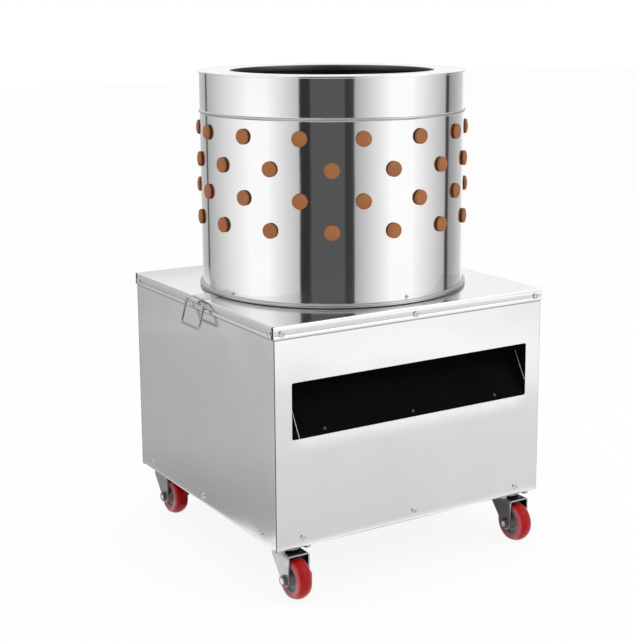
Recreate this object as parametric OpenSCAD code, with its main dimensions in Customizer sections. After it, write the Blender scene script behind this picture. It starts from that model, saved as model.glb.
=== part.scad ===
// Drum poultry plucker: a finger-lined drum standing on a sheet-steel cabinet with castors.
// Millimetres, +Z up, origin on the floor under the drum's axis, front (feather outlet) towards -Y.

/* [Cabinet] */
// Outside width of the lid
cabinet_w = 582; // [540:1:680]
// Outside depth of the lid
cabinet_d = 560; // [540:1:680]
// Height from the panels' feet to the lid's top
cabinet_h = 400; // [380:1:480]
// Thickness of the panel sheet
sheet = 1.5; // [1:0.1:2]
// Thickness of the lid sheet
lid_sheet = 2; // [1.5:0.1:3]
// Depth of the lid's down-turned flange
lid_flange = 22.5; // [20:0.5:28]
// Height of the folded hem at the flange's lower edge
hem_h = 4.5; // [3:0.5:6]
// How far the hem stands proud of the flange
hem_proud = 1; // [0.5:0.1:2]
// Open slot between two flanges at a lid corner
corner_slot = 6; // [2:0.5:8]
// Open seam between two panels at a cabinet corner
corner_seam = 1.2; // [0.5:0.1:2]
// Outside radius of the bend at a panel's foot
foot_bend = 5; // [4:0.5:6]
// Width of the lip folded in under the frame
foot_lip = 14; // [8:1:20]
// Height of the ring that centres the drum
spigot_h = 18; // [10:1:25]
// Wall of the ring that centres the drum
spigot_wall = 2.5; // [2:0.1:4]

/* [Feather outlet] */
// Width of the opening in the front panel
outlet_w = 512; // [380:1:514]
// Height of the opening
outlet_h = 101; // [80:1:110]
// Height of the opening's sill above the panel's foot
outlet_sill = 197; // [180:1:210]
// Corner radius of the opening
outlet_corner = 4; // [2:0.5:10]
// Slope of the apron behind the sill, in degrees
apron_angle = 60; // [50:1:70]
// Height of the apron's top above the panel's foot
apron_top = 345; // [325:1:350]
// Width of the riveted strip behind the sill
sill_strip = 20; // [16:1:28]
// Diameter of a rivet's head
rivet_d = 7; // [5:0.5:9]
// Spacing of the rivets along the sill
rivet_pitch = 187; // [120:1:200]

/* [Frame] */
// Width of the base rails
rail_w = 60; // [56:1:70]
// Height of all rails
rail_h = 30; // [25:1:40]
// Side of the posts and the upper rails
post = 30; // [25:1:32]
// Wall of the frame tubes
tube_wall = 2; // [1.5:0.1:3]

/* [Drum] */
// Outside diameter of the drum
drum_d = 500; // [480:1:530]
// Height of the drum above the lid
drum_h = 407; // [400:1:480]
// Thickness of the drum's wall
drum_wall = 1.5; // [1:0.1:2.5]
// Diameter of the mouth in the rim
mouth_d = 386; // [300:1:420]
// Thickness of the rim sheet
rim_sheet = 1.5; // [1:0.1:3]
// How far the rim stands out past the wall
rim_over = 2.4; // [2:0.1:5]
// Depth of the rim's lip in the mouth
rim_lip = 12; // [8:0.5:18]
// Depth of the rim's outer edge
rim_edge = 4; // [3:0.5:8]
// Distance of the swaged bead below the rim
bead_drop = 75; // [40:1:88]
// Radius of the swaged bead
bead_r = 3; // [2:0.5:5]
// Radius of the rolled foot
foot_r = 4; // [3:0.5:6]

/* [Fingers] */
// Fingers in one row
row_fingers = 14; // [10:1:16]
// Number of rows
rows = 4; // [2:1:4]
// Distance of the first row below the rim
row_first = 108; // [100:1:112]
// Distance from row to row
row_pitch = 54.5; // [45:0.5:56]
// Diameter of a finger's head
head_d = 28; // [25:0.5:32]
// Thickness of a finger's head
head_h = 8.5; // [5:0.5:10]
// Diameter of the neck that sits in its hole
neck_d = 19.6; // [16:0.1:21]
// Diameter of the finger at its root
root_d = 24; // [22:0.5:26]
// Diameter of the finger near its tip
tip_d = 14; // [10:0.5:18]
// Length of a drum finger from the wall
finger_len = 82; // [60:1:90]

/* [Rotor] */
// Diameter of the rotor plate
rotor_d = 470; // [440:1:472]
// Thickness of the rotor plate
rotor_t = 4; // [3:0.5:6]
// Height of the plate's underside above the lid
rotor_rise = 9; // [8:0.5:14]
// Length of a rotor finger from the plate's underside
rotor_finger_len = 78; // [60:1:84]
// Fingers in the innermost ring
ring_count = 6; // [4:1:7]
// Radius of the innermost ring of fingers
ring_r = 82; // [78:1:90]
// Distance from ring to ring
ring_pitch = 62; // [50:1:64]
// Number of finger rings
rings = 3; // [2:1:3]
// Diameter of the main shaft
shaft_d = 30; // [25:1:35]
// Diameter of the hub's flange
hub_flange_d = 110; // [90:1:118]
// Height of the hub below the plate
hub_h = 32; // [26:1:34]

/* [Drive] */
// Outside diameter of the driven pulley
pulley_d = 230; // [180:1:236]
// Outside diameter of the motor pulley
motor_pulley_d = 62; // [56:1:80]
// Height of both pulleys
pulley_h = 22; // [18:1:24]
// Distance between the main shaft and the motor shaft
belt_span = 170; // [164:1:172]
// Width of the belt
belt_w = 10; // [8:0.5:12]
// Thickness of the belt
belt_t = 8; // [6:0.5:10]
// Width of the bearing bridges
bridge_w = 120; // [112:1:126]
// Side of a bearing housing's square flange
bearing_w = 100; // [92:1:102]
// Height of a bearing housing
bearing_h = 34; // [30:1:40]
// Outside diameter of a bearing's inner ring
ring_d = 52; // [46:1:56]
// Diameter of the motor's body over its fins
motor_d = 148; // [130:1:152]
// Height of the motor's body
motor_h = 165; // [140:1:175]
// Diameter of the motor's flange
motor_flange_d = 190; // [180:1:196]
// Width of the motor plate
motor_plate_w = 200; // [192:1:204]
// Thickness of the motor plate and the bearing bridges
motor_plate_t = 8; // [6:0.5:10]
// Diameter of the motor shaft
motor_shaft_d = 22; // [18:1:24]
// Height of the fan cover
fan_cover_h = 46; // [40:1:50]

/* [Castors] */
// Height of a castor from the floor to the top of its plate
castor_h = 96.5; // [94:0.5:110]
// Wheel diameter
wheel_d = 75; // [65:1:76]
// Width of the tread
tread_w = 28; // [24:1:32]
// Distance of the wheel's axle from the swivel axis
trail = 24; // [20:1:28]
// Distance of the swivel axis from the lid's side edge
castor_in_x = 45; // [44:1:60]
// Distance of the swivel axis from the lid's front or rear edge
castor_in_y = 36; // [36:1:60]
// Outside width of the fork
fork_w = 44; // [42:1:48]
// Sheet thickness of the fork
fork_t = 3; // [2:0.5:4]
// Diameter of the axle bolt
axle_d = 10; // [8:0.5:12]
// Length of the castor plate along X
plate_l = 70; // [64:1:74]
// Width of the castor plate along Y
plate_w = 56; // [52:1:58]
// Thickness of the castor plate
plate_t = 3; // [2:0.5:4]
// Height of the swivel race between the plate and the fork
race_h = 9; // [8:0.5:12]

/* [Latches] */
// Outside width of the wire bail
bail_w = 76; // [70:1:90]
// Length of the bail from hinge to end bar
bail_l = 46; // [40:1:50]
// Wire diameter of the bail
bail_wire = 5; // [4:0.5:5]
// Angle at which the bail stands out from the panel
bail_tilt = 15; // [10:1:30]
// Length of the strap that holds the bail
strap_l = 60; // [54:1:62]
// Thickness of the strap
strap_t = 2; // [1.5:0.5:3]
// Width of the strap's leaf that lies on the lid
leaf_w = 38; // [30:1:44]

/* [Controls] */
// Width of the switch box
box_w = 70; // [60:1:90]
// Height of the switch box
box_h = 110; // [100:1:130]
// Depth of the switch box
box_depth = 22.5; // [20:0.5:26]
// Distance of the switch box from the middle of the rear panel
box_x = 150; // [100:1:180]
// Height of the switch box's middle above the panel's foot
box_rise = 250; // [180:1:280]
// Diameter of a push button
button_d = 18; // [14:0.5:22]
// How far a button stands proud
button_proud = 5; // [4:0.5:8]
// Distance between the two buttons
button_pitch = 42; // [30:1:50]
// Bore of the cable gland
gland_bore = 10; // [8:0.5:12]

/* [Fasteners] */
// Diameter of the panel screws
screw_d = 4.8; // [4:0.1:6]
// Head diameter of the panel screws
screw_head_d = 9.5; // [8:0.5:12]
// Distance of the lid screws below the lid's top
lid_screw_drop = 13; // [11:0.5:15]
// Distance of the outer lid screws from the lid's corner
lid_screw_in = 16; // [14:0.5:25]
// Height of the panel screws above the panel's foot
panel_screw_rise = 18; // [14:0.5:22]
// Distance of the outer panel screws from the lid's corner
panel_screw_in = 55; // [40:1:70]
// Diameter of the frame bolts
bolt_d = 8; // [6:0.5:9]

/* [Fits] */
// Radial clearance of running fits
run_fit = 0.05; // [0.02:0.01:0.1]
// Clearance between pieces that are only set together
set_gap = 0.2; // [0.1:0.05:0.4]
// Clearance between moving pieces that aren't a fit
free_gap = 0.4; // [0.3:0.05:0.8]

/* [Hidden] */
$fn = 72;
cut = 1;

// Levels
foot_z = castor_h - sheet;
lid_z = foot_z + cabinet_h;
lid_under = lid_z - lid_sheet;
rim_z = lid_z + drum_h;
rail_top = castor_h + rail_h;
upper_rail_z = lid_under - rail_h;

// Half sizes of the cabinet's layers
lid_x = cabinet_w / 2;
lid_y = cabinet_d / 2;
out_x = lid_x - lid_sheet;
out_y = lid_y - lid_sheet;
in_x = out_x - sheet;
in_y = out_y - sheet;
bay_x = in_x - post;
tube_corner = foot_bend - sheet + 0.5;
tube_inner = max(0.5, tube_corner - tube_wall);
panel_h = lid_under - set_gap - foot_z;

// Chute: apron up from the sill, then the tray to the back
sill_z = foot_z + outlet_sill;
apron_z = foot_z + apron_top;
apron_y = -in_y + (apron_z - sill_z) / tan(apron_angle);
tray_end_y = in_y - set_gap;
tray_end_z = upper_rail_z - set_gap;
tray_angle = atan((tray_end_z - apron_z) / (tray_end_y - apron_y));
tray_at_shaft = apron_z - apron_y * tan(tray_angle);
cheek_x = bay_x - sheet;
cheek_drop = 6;
collar_h = 12;
collar_r = shaft_d / 2 + 7;
rivet_neck = 0.55 * rivet_d;

// Drum and rotor
drum_r = drum_d / 2;
drum_in = drum_r - drum_wall;
spigot_r = drum_in - 2;
throat_r = spigot_r - spigot_wall;
neck_hole_r = neck_d / 2 + set_gap;
wall_grip = drum_wall + drum_in - sqrt(drum_in * drum_in - root_d * root_d / 4) + set_gap;
finger_pitch = 360 / row_fingers;
row_phase = 45;
plate_z = lid_z + rotor_rise;
plate_top = plate_z + rotor_t;
shaft_r = shaft_d / 2;
bore_r = shaft_r + run_fit;
hub_z = plate_z - hub_h;
drum_rivet_z = lid_z + 2 * foot_r + rivet_d / 2 + 1.5;

// Drive levels
belt_z = rail_top + pulley_h;
pulley_bottom = belt_z - pulley_h / 2;
drive_z = belt_z + pulley_h / 2 + 3;
motor_z = drive_z + rail_h + motor_plate_t;
upper_bearing_z = tray_at_shaft - bearing_h - 22;
flange_t = 12;
bearing_bolt = bearing_w / 2 - 13;
motor_bolt_r = motor_flange_d / 2 - 10;
motor_body_z = motor_z + flange_t;
motor_top = motor_body_z + motor_h;
motor_bore_r = motor_shaft_d / 2 + run_fit;
motor_core_r = motor_d / 2 - 8;
motor_cavity_r = motor_core_r - 16;
armature_h = 0.63 * motor_h;
rail_x = motor_bolt_r / sqrt(2);

// Castors
wheel_r = wheel_d / 2;
castor_x = lid_x - castor_in_x;
castor_y = lid_y - castor_in_y;
crown_z = castor_h - plate_t - race_h;
race_r = 20;
race_step = 3;
fork_front = trail + 11.5;
fork_back = 21;
kingpin_r = 7;
plate_bolt_x = plate_l / 2 - 9;
plate_bolt_y = plate_w / 2 - 8;
wheel_core_r = wheel_r - 12.5;

// Latches
bail_r = bail_wire / 2;
knuckle_r = bail_r + run_fit + 2;
bail_x = lid_x + strap_t + knuckle_r - 1;
bail_z = lid_z - knuckle_r - 1;
strap_h = lid_flange - hem_h - 1;
strap_screw_y = strap_l / 2 - 7;
knuckle_l = 2 * strap_screw_y - screw_head_d - 2;
leaf_end = drum_r + 1.5 * foot_r + 2.5;

// Controls
box_y = out_y + box_depth;
box_z = foot_z + box_rise;
button_r = button_d / 2;

// Rounded rectangle centred on the origin
module rounded(w, h, r) {
  square([w - 2 * r, h], center = true);
  square([w, h - 2 * r], center = true);
  for (x = [-1, 1], y = [-1, 1])
    translate([x * (w / 2 - r), y * (h / 2 - r)]) circle(r);
}

// Section of a frame tube, its corners rounded to sit in a panel's bend
module tube_section(w, h) {
  difference() {
    rounded(w, h, tube_corner);
    rounded(w - 2 * tube_wall, h - 2 * tube_wall, tube_inner);
  }
}

// Open tube of rectangular section lying along X
module tube_x(l, w, h) {
  rotate([90, 0, 90]) linear_extrude(l, center = true) tube_section(w, h);
}

// Upright tube of square section
module tube_z(h) {
  linear_extrude(h) tube_section(post, post);
}

// Round bar, disc or ring about Z
module ring(r, inner, h) {
  difference() {
    cylinder(r = r, h = h);
    translate([0, 0, -cut]) cylinder(r = inner, h = h + 2 * cut);
  }
}

// Places of the lid screws, +Z pointing out of the flange
module lid_screw_places() {
  for (s = [-1, 1]) {
    for (x = [-1, 0, 1])
      translate([x * (lid_x - lid_screw_in), s * lid_y, lid_z - lid_screw_drop])
        rotate([-90 * s, 0, 0]) children();
    for (y = [-1, 1])
      translate([s * lid_x, y * (lid_y - lid_screw_in), lid_z - lid_screw_drop])
        rotate([0, 90 * s, 0]) children();
  }
}

// Places of the strap screws, +Z pointing out of the strap
module strap_screw_places() {
  for (s = [-1, 1], y = [-1, 1])
    translate([s * (lid_x + strap_t), y * strap_screw_y, lid_z - lid_screw_drop])
      rotate([0, 90 * s, 0]) children();
}

// Places of the panel screws, +Z pointing out of the panel
module panel_screw_places() {
  for (s = [-1, 1], i = [-1, 0, 1]) {
    translate([i * (lid_x - panel_screw_in), s * out_y, foot_z + panel_screw_rise])
      rotate([-90 * s, 0, 0]) children();
    translate([s * out_x, i * (lid_y - panel_screw_in), foot_z + panel_screw_rise])
      rotate([0, 90 * s, 0]) children();
  }
}

module screw_hole() {
  translate([0, 0, -20]) cylinder(d = screw_d + set_gap, h = 24);
}

module screw_cuts() {
  lid_screw_places() screw_hole();
  strap_screw_places() screw_hole();
  panel_screw_places() screw_hole();
}

// Pan-head screw, head above z = 0
module screw(l) {
  translate([0, 0, -l]) cylinder(d = screw_d, h = l);
  rotate_extrude()
    polygon([
      [0, 0], [screw_head_d / 2, 0], [screw_head_d / 2, 1.4], [screw_head_d / 2 - 1.3, 2.7], [0, 3.2]
    ]);
}

// Places of the motor bolts, bearing bolts and castor bolts, +Z pointing to the bolt's head
module motor_bolt_places() {
  for (a = [45 : 90 : 315])
    translate([0, belt_span, motor_body_z]) rotate([0, 0, a]) translate([motor_bolt_r, 0, 0]) children();
}

module bearing_bolt_places() {
  for (z = [motor_z, upper_bearing_z], x = [-1, 1], y = [-1, 1])
    translate([x * bearing_bolt, y * bearing_bolt, z + flange_t]) children();
}

module castor_places() {
  for (x = [-1, 1], y = [-1, 1])
    translate([x * castor_x, y * castor_y, 0]) children();
}

module castor_bolt_places() {
  castor_places()
    for (x = [-1, 1], y = [-1, 1])
      translate([x * plate_bolt_x, y * plate_bolt_y, castor_h - plate_t]) rotate([180, 0, 0]) children();
}

module bolt_hole(l) {
  translate([0, 0, -l]) cylinder(d = bolt_d + set_gap, h = l + cut);
}

// Hexagon bolt, head above z = 0
module bolt(l) {
  translate([0, 0, -l]) cylinder(d = bolt_d, h = l + cut);
  cylinder(d = 1.7 * bolt_d, h = 0.65 * bolt_d, $fn = 6);
}

module base_rails() {
  color("dimgray") difference() {
    union() {
      for (s = [-1, 1]) {
        translate([0, s * (in_y - rail_w / 2), castor_h + rail_h / 2])
          tube_x(2 * (in_x - foot_bend), rail_w, rail_h);
        translate([s * (in_x - rail_w / 2), 0, castor_h + rail_h / 2]) rotate([0, 0, 90])
          tube_x(2 * (in_y - rail_w - set_gap), rail_w, rail_h);
      }
    }
    screw_cuts();
    castor_bolt_places() bolt_hole(16);
  }
}

// Posts and top rails
module upper_frame() {
  color("dimgray") difference() {
    union() {
      for (x = [-1, 1], y = [-1, 0, 1])
        translate([x * (in_x - post / 2), y * (in_y - post / 2), rail_top])
          tube_z(upper_rail_z - rail_top - set_gap);
      for (s = [-1, 1]) {
        translate([0, s * (in_y - post / 2), upper_rail_z + rail_h / 2]) tube_x(2 * in_x, post, rail_h);
        translate([s * (in_x - post / 2), 0, upper_rail_z + rail_h / 2]) rotate([0, 0, 90])
          tube_x(2 * (in_y - post - set_gap), post, rail_h);
      }
    }
    screw_cuts();
  }
}

// Section of a panel, outer face at x = 0, with its foot bent in and folded to a lip
module panel_section() {
  translate([-sheet, foot_bend]) square([sheet, panel_h - foot_bend]);
  intersection() {
    translate([-foot_bend, foot_bend]) difference() {
      circle(foot_bend);
      circle(foot_bend - sheet);
    }
    translate([-foot_bend, 0]) square(foot_bend);
  }
  translate([-foot_bend - foot_lip, 0]) square([foot_lip, sheet]);
}

// Panel of a given length whose outer face stands at x = reach, its lip cut away over the castors
module panel(reach, l, corner_cut) {
  notch = castor_in_x + plate_l / 2 + 10;
  translate([reach, 0, foot_z]) difference() {
    translate([0, l / 2, 0]) rotate([90, 0, 0]) linear_extrude(l) panel_section();
    for (s = [-1, 1]) {
      translate([-foot_bend - foot_lip - cut, s * (l / 2 - notch / 2) - notch / 2 - cut, -cut])
        cube([foot_lip + cut, notch + 2 * cut, sheet + 2 * cut]);
      if (corner_cut > 0)
        translate([-foot_bend - cut, s * l / 2 - corner_cut, -cut])
          cube([foot_bend + 2 * cut, 2 * corner_cut, foot_bend + cut]);
    }
  }
}

// Strip bent in behind the sill to carry the chute
module sill_strip_bar() {
  lean = sheet / cos(apron_angle);
  top = sill_z - (sheet + set_gap) / cos(apron_angle);
  root = sheet / 2;
  dip = root * tan(apron_angle);
  run = sill_strip * cos(apron_angle);
  rise = sill_strip * sin(apron_angle);
  rotate([90, 0, 90]) translate([0, 0, -outlet_w / 2 + 2]) linear_extrude(outlet_w - 4)
    polygon([
      [-in_y - root, top - dip], [-in_y + run, top + rise],
      [-in_y + run, top - lean + rise], [-in_y - root, top - lean - dip]
    ]);
}

module front_panel() {
  color("silver") difference() {
    union() {
      difference() {
        rotate([0, 0, -90]) panel(out_y, 2 * out_x, 0);
        translate([0, -out_y - cut, sill_z + outlet_h / 2]) rotate([-90, 0, 0])
          linear_extrude(sheet + 2 * cut) rounded(outlet_w, outlet_h, outlet_corner);
      }
      sill_strip_bar();
    }
    screw_cuts();
    chute_rivet_places() cylinder(d = rivet_neck + set_gap, h = 12, center = true);
  }
}

module rear_panel() {
  color("silver") difference() {
    rotate([0, 0, 90]) panel(out_y, 2 * out_x, 0);
    screw_cuts();
  }
}

module side_panel(turn) {
  color("silver") difference() {
    rotate([0, 0, turn]) panel(out_x, 2 * (in_y - corner_seam), foot_bend);
    screw_cuts();
  }
}

module left_panel() {
  side_panel(180);
}

module right_panel() {
  side_panel(0);
}

// One lid flange with its folded hem, outer face at x = reach
module flange(reach, l) {
  translate([reach - lid_sheet, -l / 2, lid_z - lid_flange]) cube([lid_sheet, l, lid_flange]);
  translate([reach - lid_sheet, -l / 2, lid_z - lid_flange]) cube([lid_sheet + hem_proud, l, hem_h]);
}

module lid() {
  color("silver") difference() {
    union() {
      translate([-lid_x, -lid_y, lid_under]) cube([cabinet_w, cabinet_d, lid_sheet]);
      for (s = [0, 180]) {
        rotate([0, 0, s + 90]) flange(lid_y, cabinet_w);
        rotate([0, 0, s]) flange(lid_x, cabinet_d - 2 * lid_sheet - 2 * corner_slot);
      }
      translate([0, 0, lid_under]) cylinder(r = spigot_r, h = lid_sheet + spigot_h);
    }
    translate([0, 0, lid_under - cut]) cylinder(r = throat_r, h = lid_sheet + spigot_h + 2 * cut);
    screw_cuts();
  }
}

module panel_screws() {
  color("gainsboro") {
    lid_screw_places() screw(lid_sheet + sheet + tube_wall + 1);
    strap_screw_places() screw(strap_t + lid_sheet + sheet + tube_wall + 1);
    panel_screw_places() screw(sheet + tube_wall + 1);
  }
}

// Section of the chute floor in the YZ plane: apron, then tray, one sheet thick
function along(a) = [cos(a), sin(a)];
function below(a) = [sin(a), -cos(a)];

module chute_floor_section(depth) {
  start = [-in_y, sill_z];
  bend = [apron_y, apron_z];
  end = [tray_end_y, tray_end_z];
  corner = (below(apron_angle) + below(tray_angle)) / (1 + cos(apron_angle - tray_angle));
  polygon([
    start, bend, end, end + depth * below(tray_angle), bend + depth * corner,
    start + depth * below(apron_angle)
  ]);
}

module chute() {
  color([0.12, 0.12, 0.13]) difference() {
    union() {
      rotate([90, 0, 90]) linear_extrude(2 * cheek_x, center = true) chute_floor_section(sheet);
      for (s = [-1, 1])
        translate([s * (cheek_x + sheet / 2), 0, 0]) rotate([90, 0, 90])
          linear_extrude(sheet, center = true) polygon([
            [-in_y, sill_z], [-in_y + cheek_drop, sill_z - cheek_drop],
            [apron_y + cheek_drop, apron_z - cheek_drop], [tray_end_y, tray_end_z - cheek_drop],
            [tray_end_y, tray_end_z], [-in_y, tray_end_z]
          ]);
      translate([0, 0, tray_at_shaft - 3]) cylinder(r = collar_r + 2, h = collar_h + 3);
    }
    translate([0, 0, tray_at_shaft - 20]) cylinder(r = collar_r, h = 20 + collar_h + cut);
    chute_rivet_places() cylinder(d = rivet_neck + set_gap, h = 12, center = true);
  }
}

// Places of the rivets on the apron near the sill, +Z pointing out of its upper face
module chute_rivet_places() {
  for (i = [-1, 0, 1])
    translate([i * rivet_pitch, -in_y, sill_z]) rotate([apron_angle, 0, 0])
      translate([0, sill_strip / 2, 0]) children();
}

// Dome-head rivet, head above z = 0
module rivet(l) {
  translate([0, 0, -l]) cylinder(d = rivet_neck, h = l);
  rotate_extrude()
    polygon([[0, 0], [rivet_d / 2, 0], [rivet_d / 2 - 0.4, 1], [rivet_d / 3, 1.8], [0, 2.2]]);
}

module chute_rivets() {
  color("gainsboro") chute_rivet_places() rivet(2 * sheet + 1);
}

// Strap screwed to the lid's flange, rolled over the bail's hinge bar, with a leaf bent in over the lid
module latch_straps() {
  color("gainsboro") difference() {
    for (s = [-1, 1])
      difference() {
        union() {
          translate([s * (lid_x + strap_t / 2), 0, lid_z - strap_h / 2 - 0.5])
            cube([strap_t, strap_l, strap_h], center = true);
          translate([s * (lid_x + strap_t / 2), 0, lid_z]) cube([strap_t, leaf_w, 2 * strap_t], center = true);
          translate([s * (leaf_end + lid_x + strap_t) / 2, 0, lid_z + strap_t / 2])
            cube([lid_x + strap_t - leaf_end, leaf_w, strap_t], center = true);
          translate([s * bail_x, 0, bail_z]) rotate([90, 0, 0])
            cylinder(r = knuckle_r, h = knuckle_l, center = true);
        }
        translate([s * bail_x, 0, bail_z]) rotate([90, 0, 0])
          cylinder(r = bail_r + run_fit, h = knuckle_l + 2 * cut, center = true);
      }
    strap_screw_places() screw_hole();
  }
}

// Flat bar carrying a bearing, its top at z
module bridge(z) {
  difference() {
    translate([-bay_x, -bridge_w / 2, z - motor_plate_t]) cube([2 * bay_x, bridge_w, motor_plate_t]);
    translate([0, 0, z - motor_plate_t - cut]) cylinder(d = ring_d, h = motor_plate_t + 2 * cut);
    bearing_bolt_places() bolt_hole(24);
  }
}

module bearing_bridges() {
  color("slategray") {
    bridge(motor_z);
    bridge(upper_bearing_z);
  }
}

module bearing_housings() {
  color("darkslategray") difference() {
    for (z = [motor_z, upper_bearing_z])
      translate([0, 0, z]) difference() {
        union() {
          linear_extrude(flange_t) rounded(bearing_w, bearing_w, 12);
          cylinder(d = ring_d + 18, h = bearing_h);
        }
        translate([0, 0, -cut]) cylinder(d = ring_d, h = bearing_h + 2 * cut);
      }
    bearing_bolt_places() bolt_hole(24);
  }
}

module bearing_rings() {
  color("gainsboro")
    for (z = [motor_z, upper_bearing_z])
      translate([0, 0, z + 4]) ring(ring_d / 2 - run_fit, bore_r, bearing_h - 4);
}

module frame_bolts() {
  color("gray") {
    motor_bolt_places() bolt(flange_t + motor_plate_t + tube_wall + 2);
    bearing_bolt_places() bolt(flange_t + motor_plate_t + 2);
    castor_bolt_places() bolt(plate_t + tube_wall + 4);
  }
}

module shaft_seal() {
  color([0.1, 0.1, 0.1]) translate([0, 0, tray_at_shaft + collar_h - 8])
    ring(collar_r - set_gap, bore_r, 8);
}

// Two rails under the lower bridge and the motor plate, and the cross rail that carries them at the back
module motor_rails() {
  front = -bridge_w / 2;
  back = in_y - post - set_gap;
  color("dimgray") difference() {
    union() {
      for (s = [-1, 1])
        translate([s * rail_x, (front + back) / 2, drive_z + rail_h / 2]) rotate([0, 0, 90])
          tube_x(back - front, post, rail_h);
      translate([0, in_y - post / 2, drive_z + rail_h / 2]) tube_x(2 * bay_x, post, rail_h);
    }
    motor_bolt_places() bolt_hole(flange_t + motor_plate_t + rail_h / 2);
  }
}

module motor_plate() {
  front = bridge_w / 2 + set_gap;
  color("slategray") difference() {
    translate([-motor_plate_w / 2, front, motor_z - motor_plate_t])
      cube([motor_plate_w, in_y - bolt_d - front, motor_plate_t]);
    translate([0, belt_span, motor_z - motor_plate_t - cut])
      cylinder(d = motor_shaft_d + 20, h = motor_plate_t + 2 * cut);
    motor_bolt_places() bolt_hole(40);
  }
}

module motor_housing() {
  color([0.25, 0.3, 0.36]) difference() {
    translate([0, belt_span, 0]) difference() {
      union() {
        translate([0, 0, motor_z]) cylinder(d = motor_flange_d, h = flange_t);
        translate([0, 0, motor_z]) cylinder(r = motor_core_r, h = motor_top - motor_z);
        for (a = [0 : 15 : 345])
          rotate([0, 0, a]) translate([0, -1.5, motor_body_z + 14]) cube([motor_d / 2, 3, motor_h - 20]);
        translate([0, 0, motor_top - 8]) cylinder(d = motor_d, h = 8);
      }
      translate([0, 0, motor_body_z]) cylinder(r = motor_cavity_r, h = motor_h - 10);
      translate([0, 0, motor_z - cut]) cylinder(r = motor_bore_r, h = motor_top - motor_z + 2 * cut);
    }
    motor_bolt_places() bolt_hole(40);
  }
}

module motor_fan_cover() {
  color([0.2, 0.24, 0.29]) translate([0, belt_span, motor_top]) difference() {
    cylinder(d = motor_d, h = fan_cover_h);
    translate([0, 0, -cut]) cylinder(d = motor_d - 4, h = fan_cover_h - 2 + cut);
    for (r = [22, 36, 50], a = [0 : 30 : 330])
      rotate([0, 0, a]) translate([r, 0, 0]) cylinder(d = 7, h = fan_cover_h + cut);
  }
}

module motor_terminal_box() {
  box = [0.3 * motor_d, 0.5 * motor_d, 0.5 * motor_h];
  color([0.2, 0.24, 0.29]) translate([0, belt_span, motor_body_z + 0.3 * motor_h]) difference() {
    translate([motor_d / 2 - 10, -box[1] / 2, 0]) cube(box);
    translate([0, 0, -cut]) cylinder(d = motor_d + set_gap, h = box[2] + 2 * cut);
  }
}

// Outline of a belt run at a given depth outside both grooves
module belt_outline(r1, r2) {
  lean = asin((r1 - r2) / belt_span);
  circle(r1);
  translate([0, belt_span]) circle(r2);
  polygon([
    [-r1 * cos(lean), r1 * sin(lean)], [r1 * cos(lean), r1 * sin(lean)],
    [r2 * cos(lean), belt_span + r2 * sin(lean)], [-r2 * cos(lean), belt_span + r2 * sin(lean)]
  ]);
}

module drive_belt() {
  big = pulley_d / 2 - belt_t + free_gap;
  small = motor_pulley_d / 2 - belt_t + free_gap;
  color([0.1, 0.1, 0.1]) translate([0, 0, belt_z - belt_w / 2]) linear_extrude(belt_w) difference() {
    belt_outline(big + belt_t, small + belt_t);
    belt_outline(big, small);
  }
}

// Grooved pulley on a shaft of radius r
module pulley(d, r, hub) {
  rim = d / 2;
  groove = rim - belt_t;
  half = pulley_h / 2;
  slot = belt_w / 2 + free_gap;
  rotate_extrude()
    polygon([
      [r, -half], [hub, -half], [hub, -5], [groove - 6, -5], [groove - 6, -half], [rim, -half],
      [rim, -slot], [groove, -slot], [groove, slot], [rim, slot], [rim, half], [groove - 6, half],
      [groove - 6, 5], [hub, 5], [hub, half], [r, half]
    ]);
}

module driven_pulley() {
  color("slategray") translate([0, 0, belt_z]) pulley(pulley_d, bore_r, shaft_r + 12);
}

module motor_pulley() {
  groove = motor_pulley_d / 2 - belt_t;
  slot = belt_w / 2 + free_gap;
  half = pulley_h / 2;
  rim = motor_pulley_d / 2;
  color("slategray") translate([0, belt_span, belt_z]) rotate_extrude()
    polygon([
      [motor_bore_r, -half], [rim, -half], [rim, -slot], [groove, -slot], [groove, slot], [rim, slot],
      [rim, half], [motor_bore_r, half]
    ]);
}

module motor_shaft() {
  color("gainsboro") translate([0, belt_span, 0]) {
    translate([0, 0, pulley_bottom - 2]) cylinder(d = motor_shaft_d, h = motor_top + 30 - pulley_bottom);
    translate([0, 0, motor_body_z + (motor_h - armature_h) / 2 - 5])
      cylinder(r = motor_cavity_r - 1, h = armature_h);
  }
}

module motor_fan() {
  color("dimgray") translate([0, belt_span, motor_top + 4]) difference() {
    union() {
      cylinder(d = motor_shaft_d + 16, h = 22);
      for (a = [0 : 45 : 315])
        rotate([0, 0, a]) translate([0, -1.25, 0]) cube([motor_d / 2 - 12, 2.5, 20]);
    }
    translate([0, 0, -cut]) cylinder(r = motor_bore_r, h = 22 + 2 * cut);
  }
}

module main_shaft() {
  color("gainsboro") translate([0, 0, pulley_bottom - 3])
    cylinder(r = shaft_r, h = plate_top + 14 - pulley_bottom + 3);
}

// Rubber finger along +Z: head below z = 0, neck through a sheet of a given grip, tapered body above
module finger(l, grip) {
  rotate_extrude()
    polygon([
      [0, -head_h - 0.1], [head_d / 2 - 4, -head_h + 0.4], [head_d / 2, -head_h + 3.4], [head_d / 2, -0.1],
      [neck_d / 2, -0.1], [neck_d / 2, grip], [root_d / 2, grip], [root_d / 2, grip + 8],
      [tip_d / 2, l - tip_d / 3], [tip_d / 4, l], [0, l]
    ]);
}

// Places of the drum fingers on the outside of the wall, +Z pointing in
module drum_finger_places() {
  for (row = [0 : rows - 1], i = [0 : row_fingers - 1])
    rotate([0, 0, row_phase + finger_pitch * (i + 0.5 * ((row + 1) % 2))])
      translate([0, -drum_r, rim_z - row_first - row * row_pitch]) rotate([-90, 0, 0]) children();
}

module drum_fingers() {
  color("darkorange") drum_finger_places() finger(finger_len, wall_grip);
}

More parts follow.
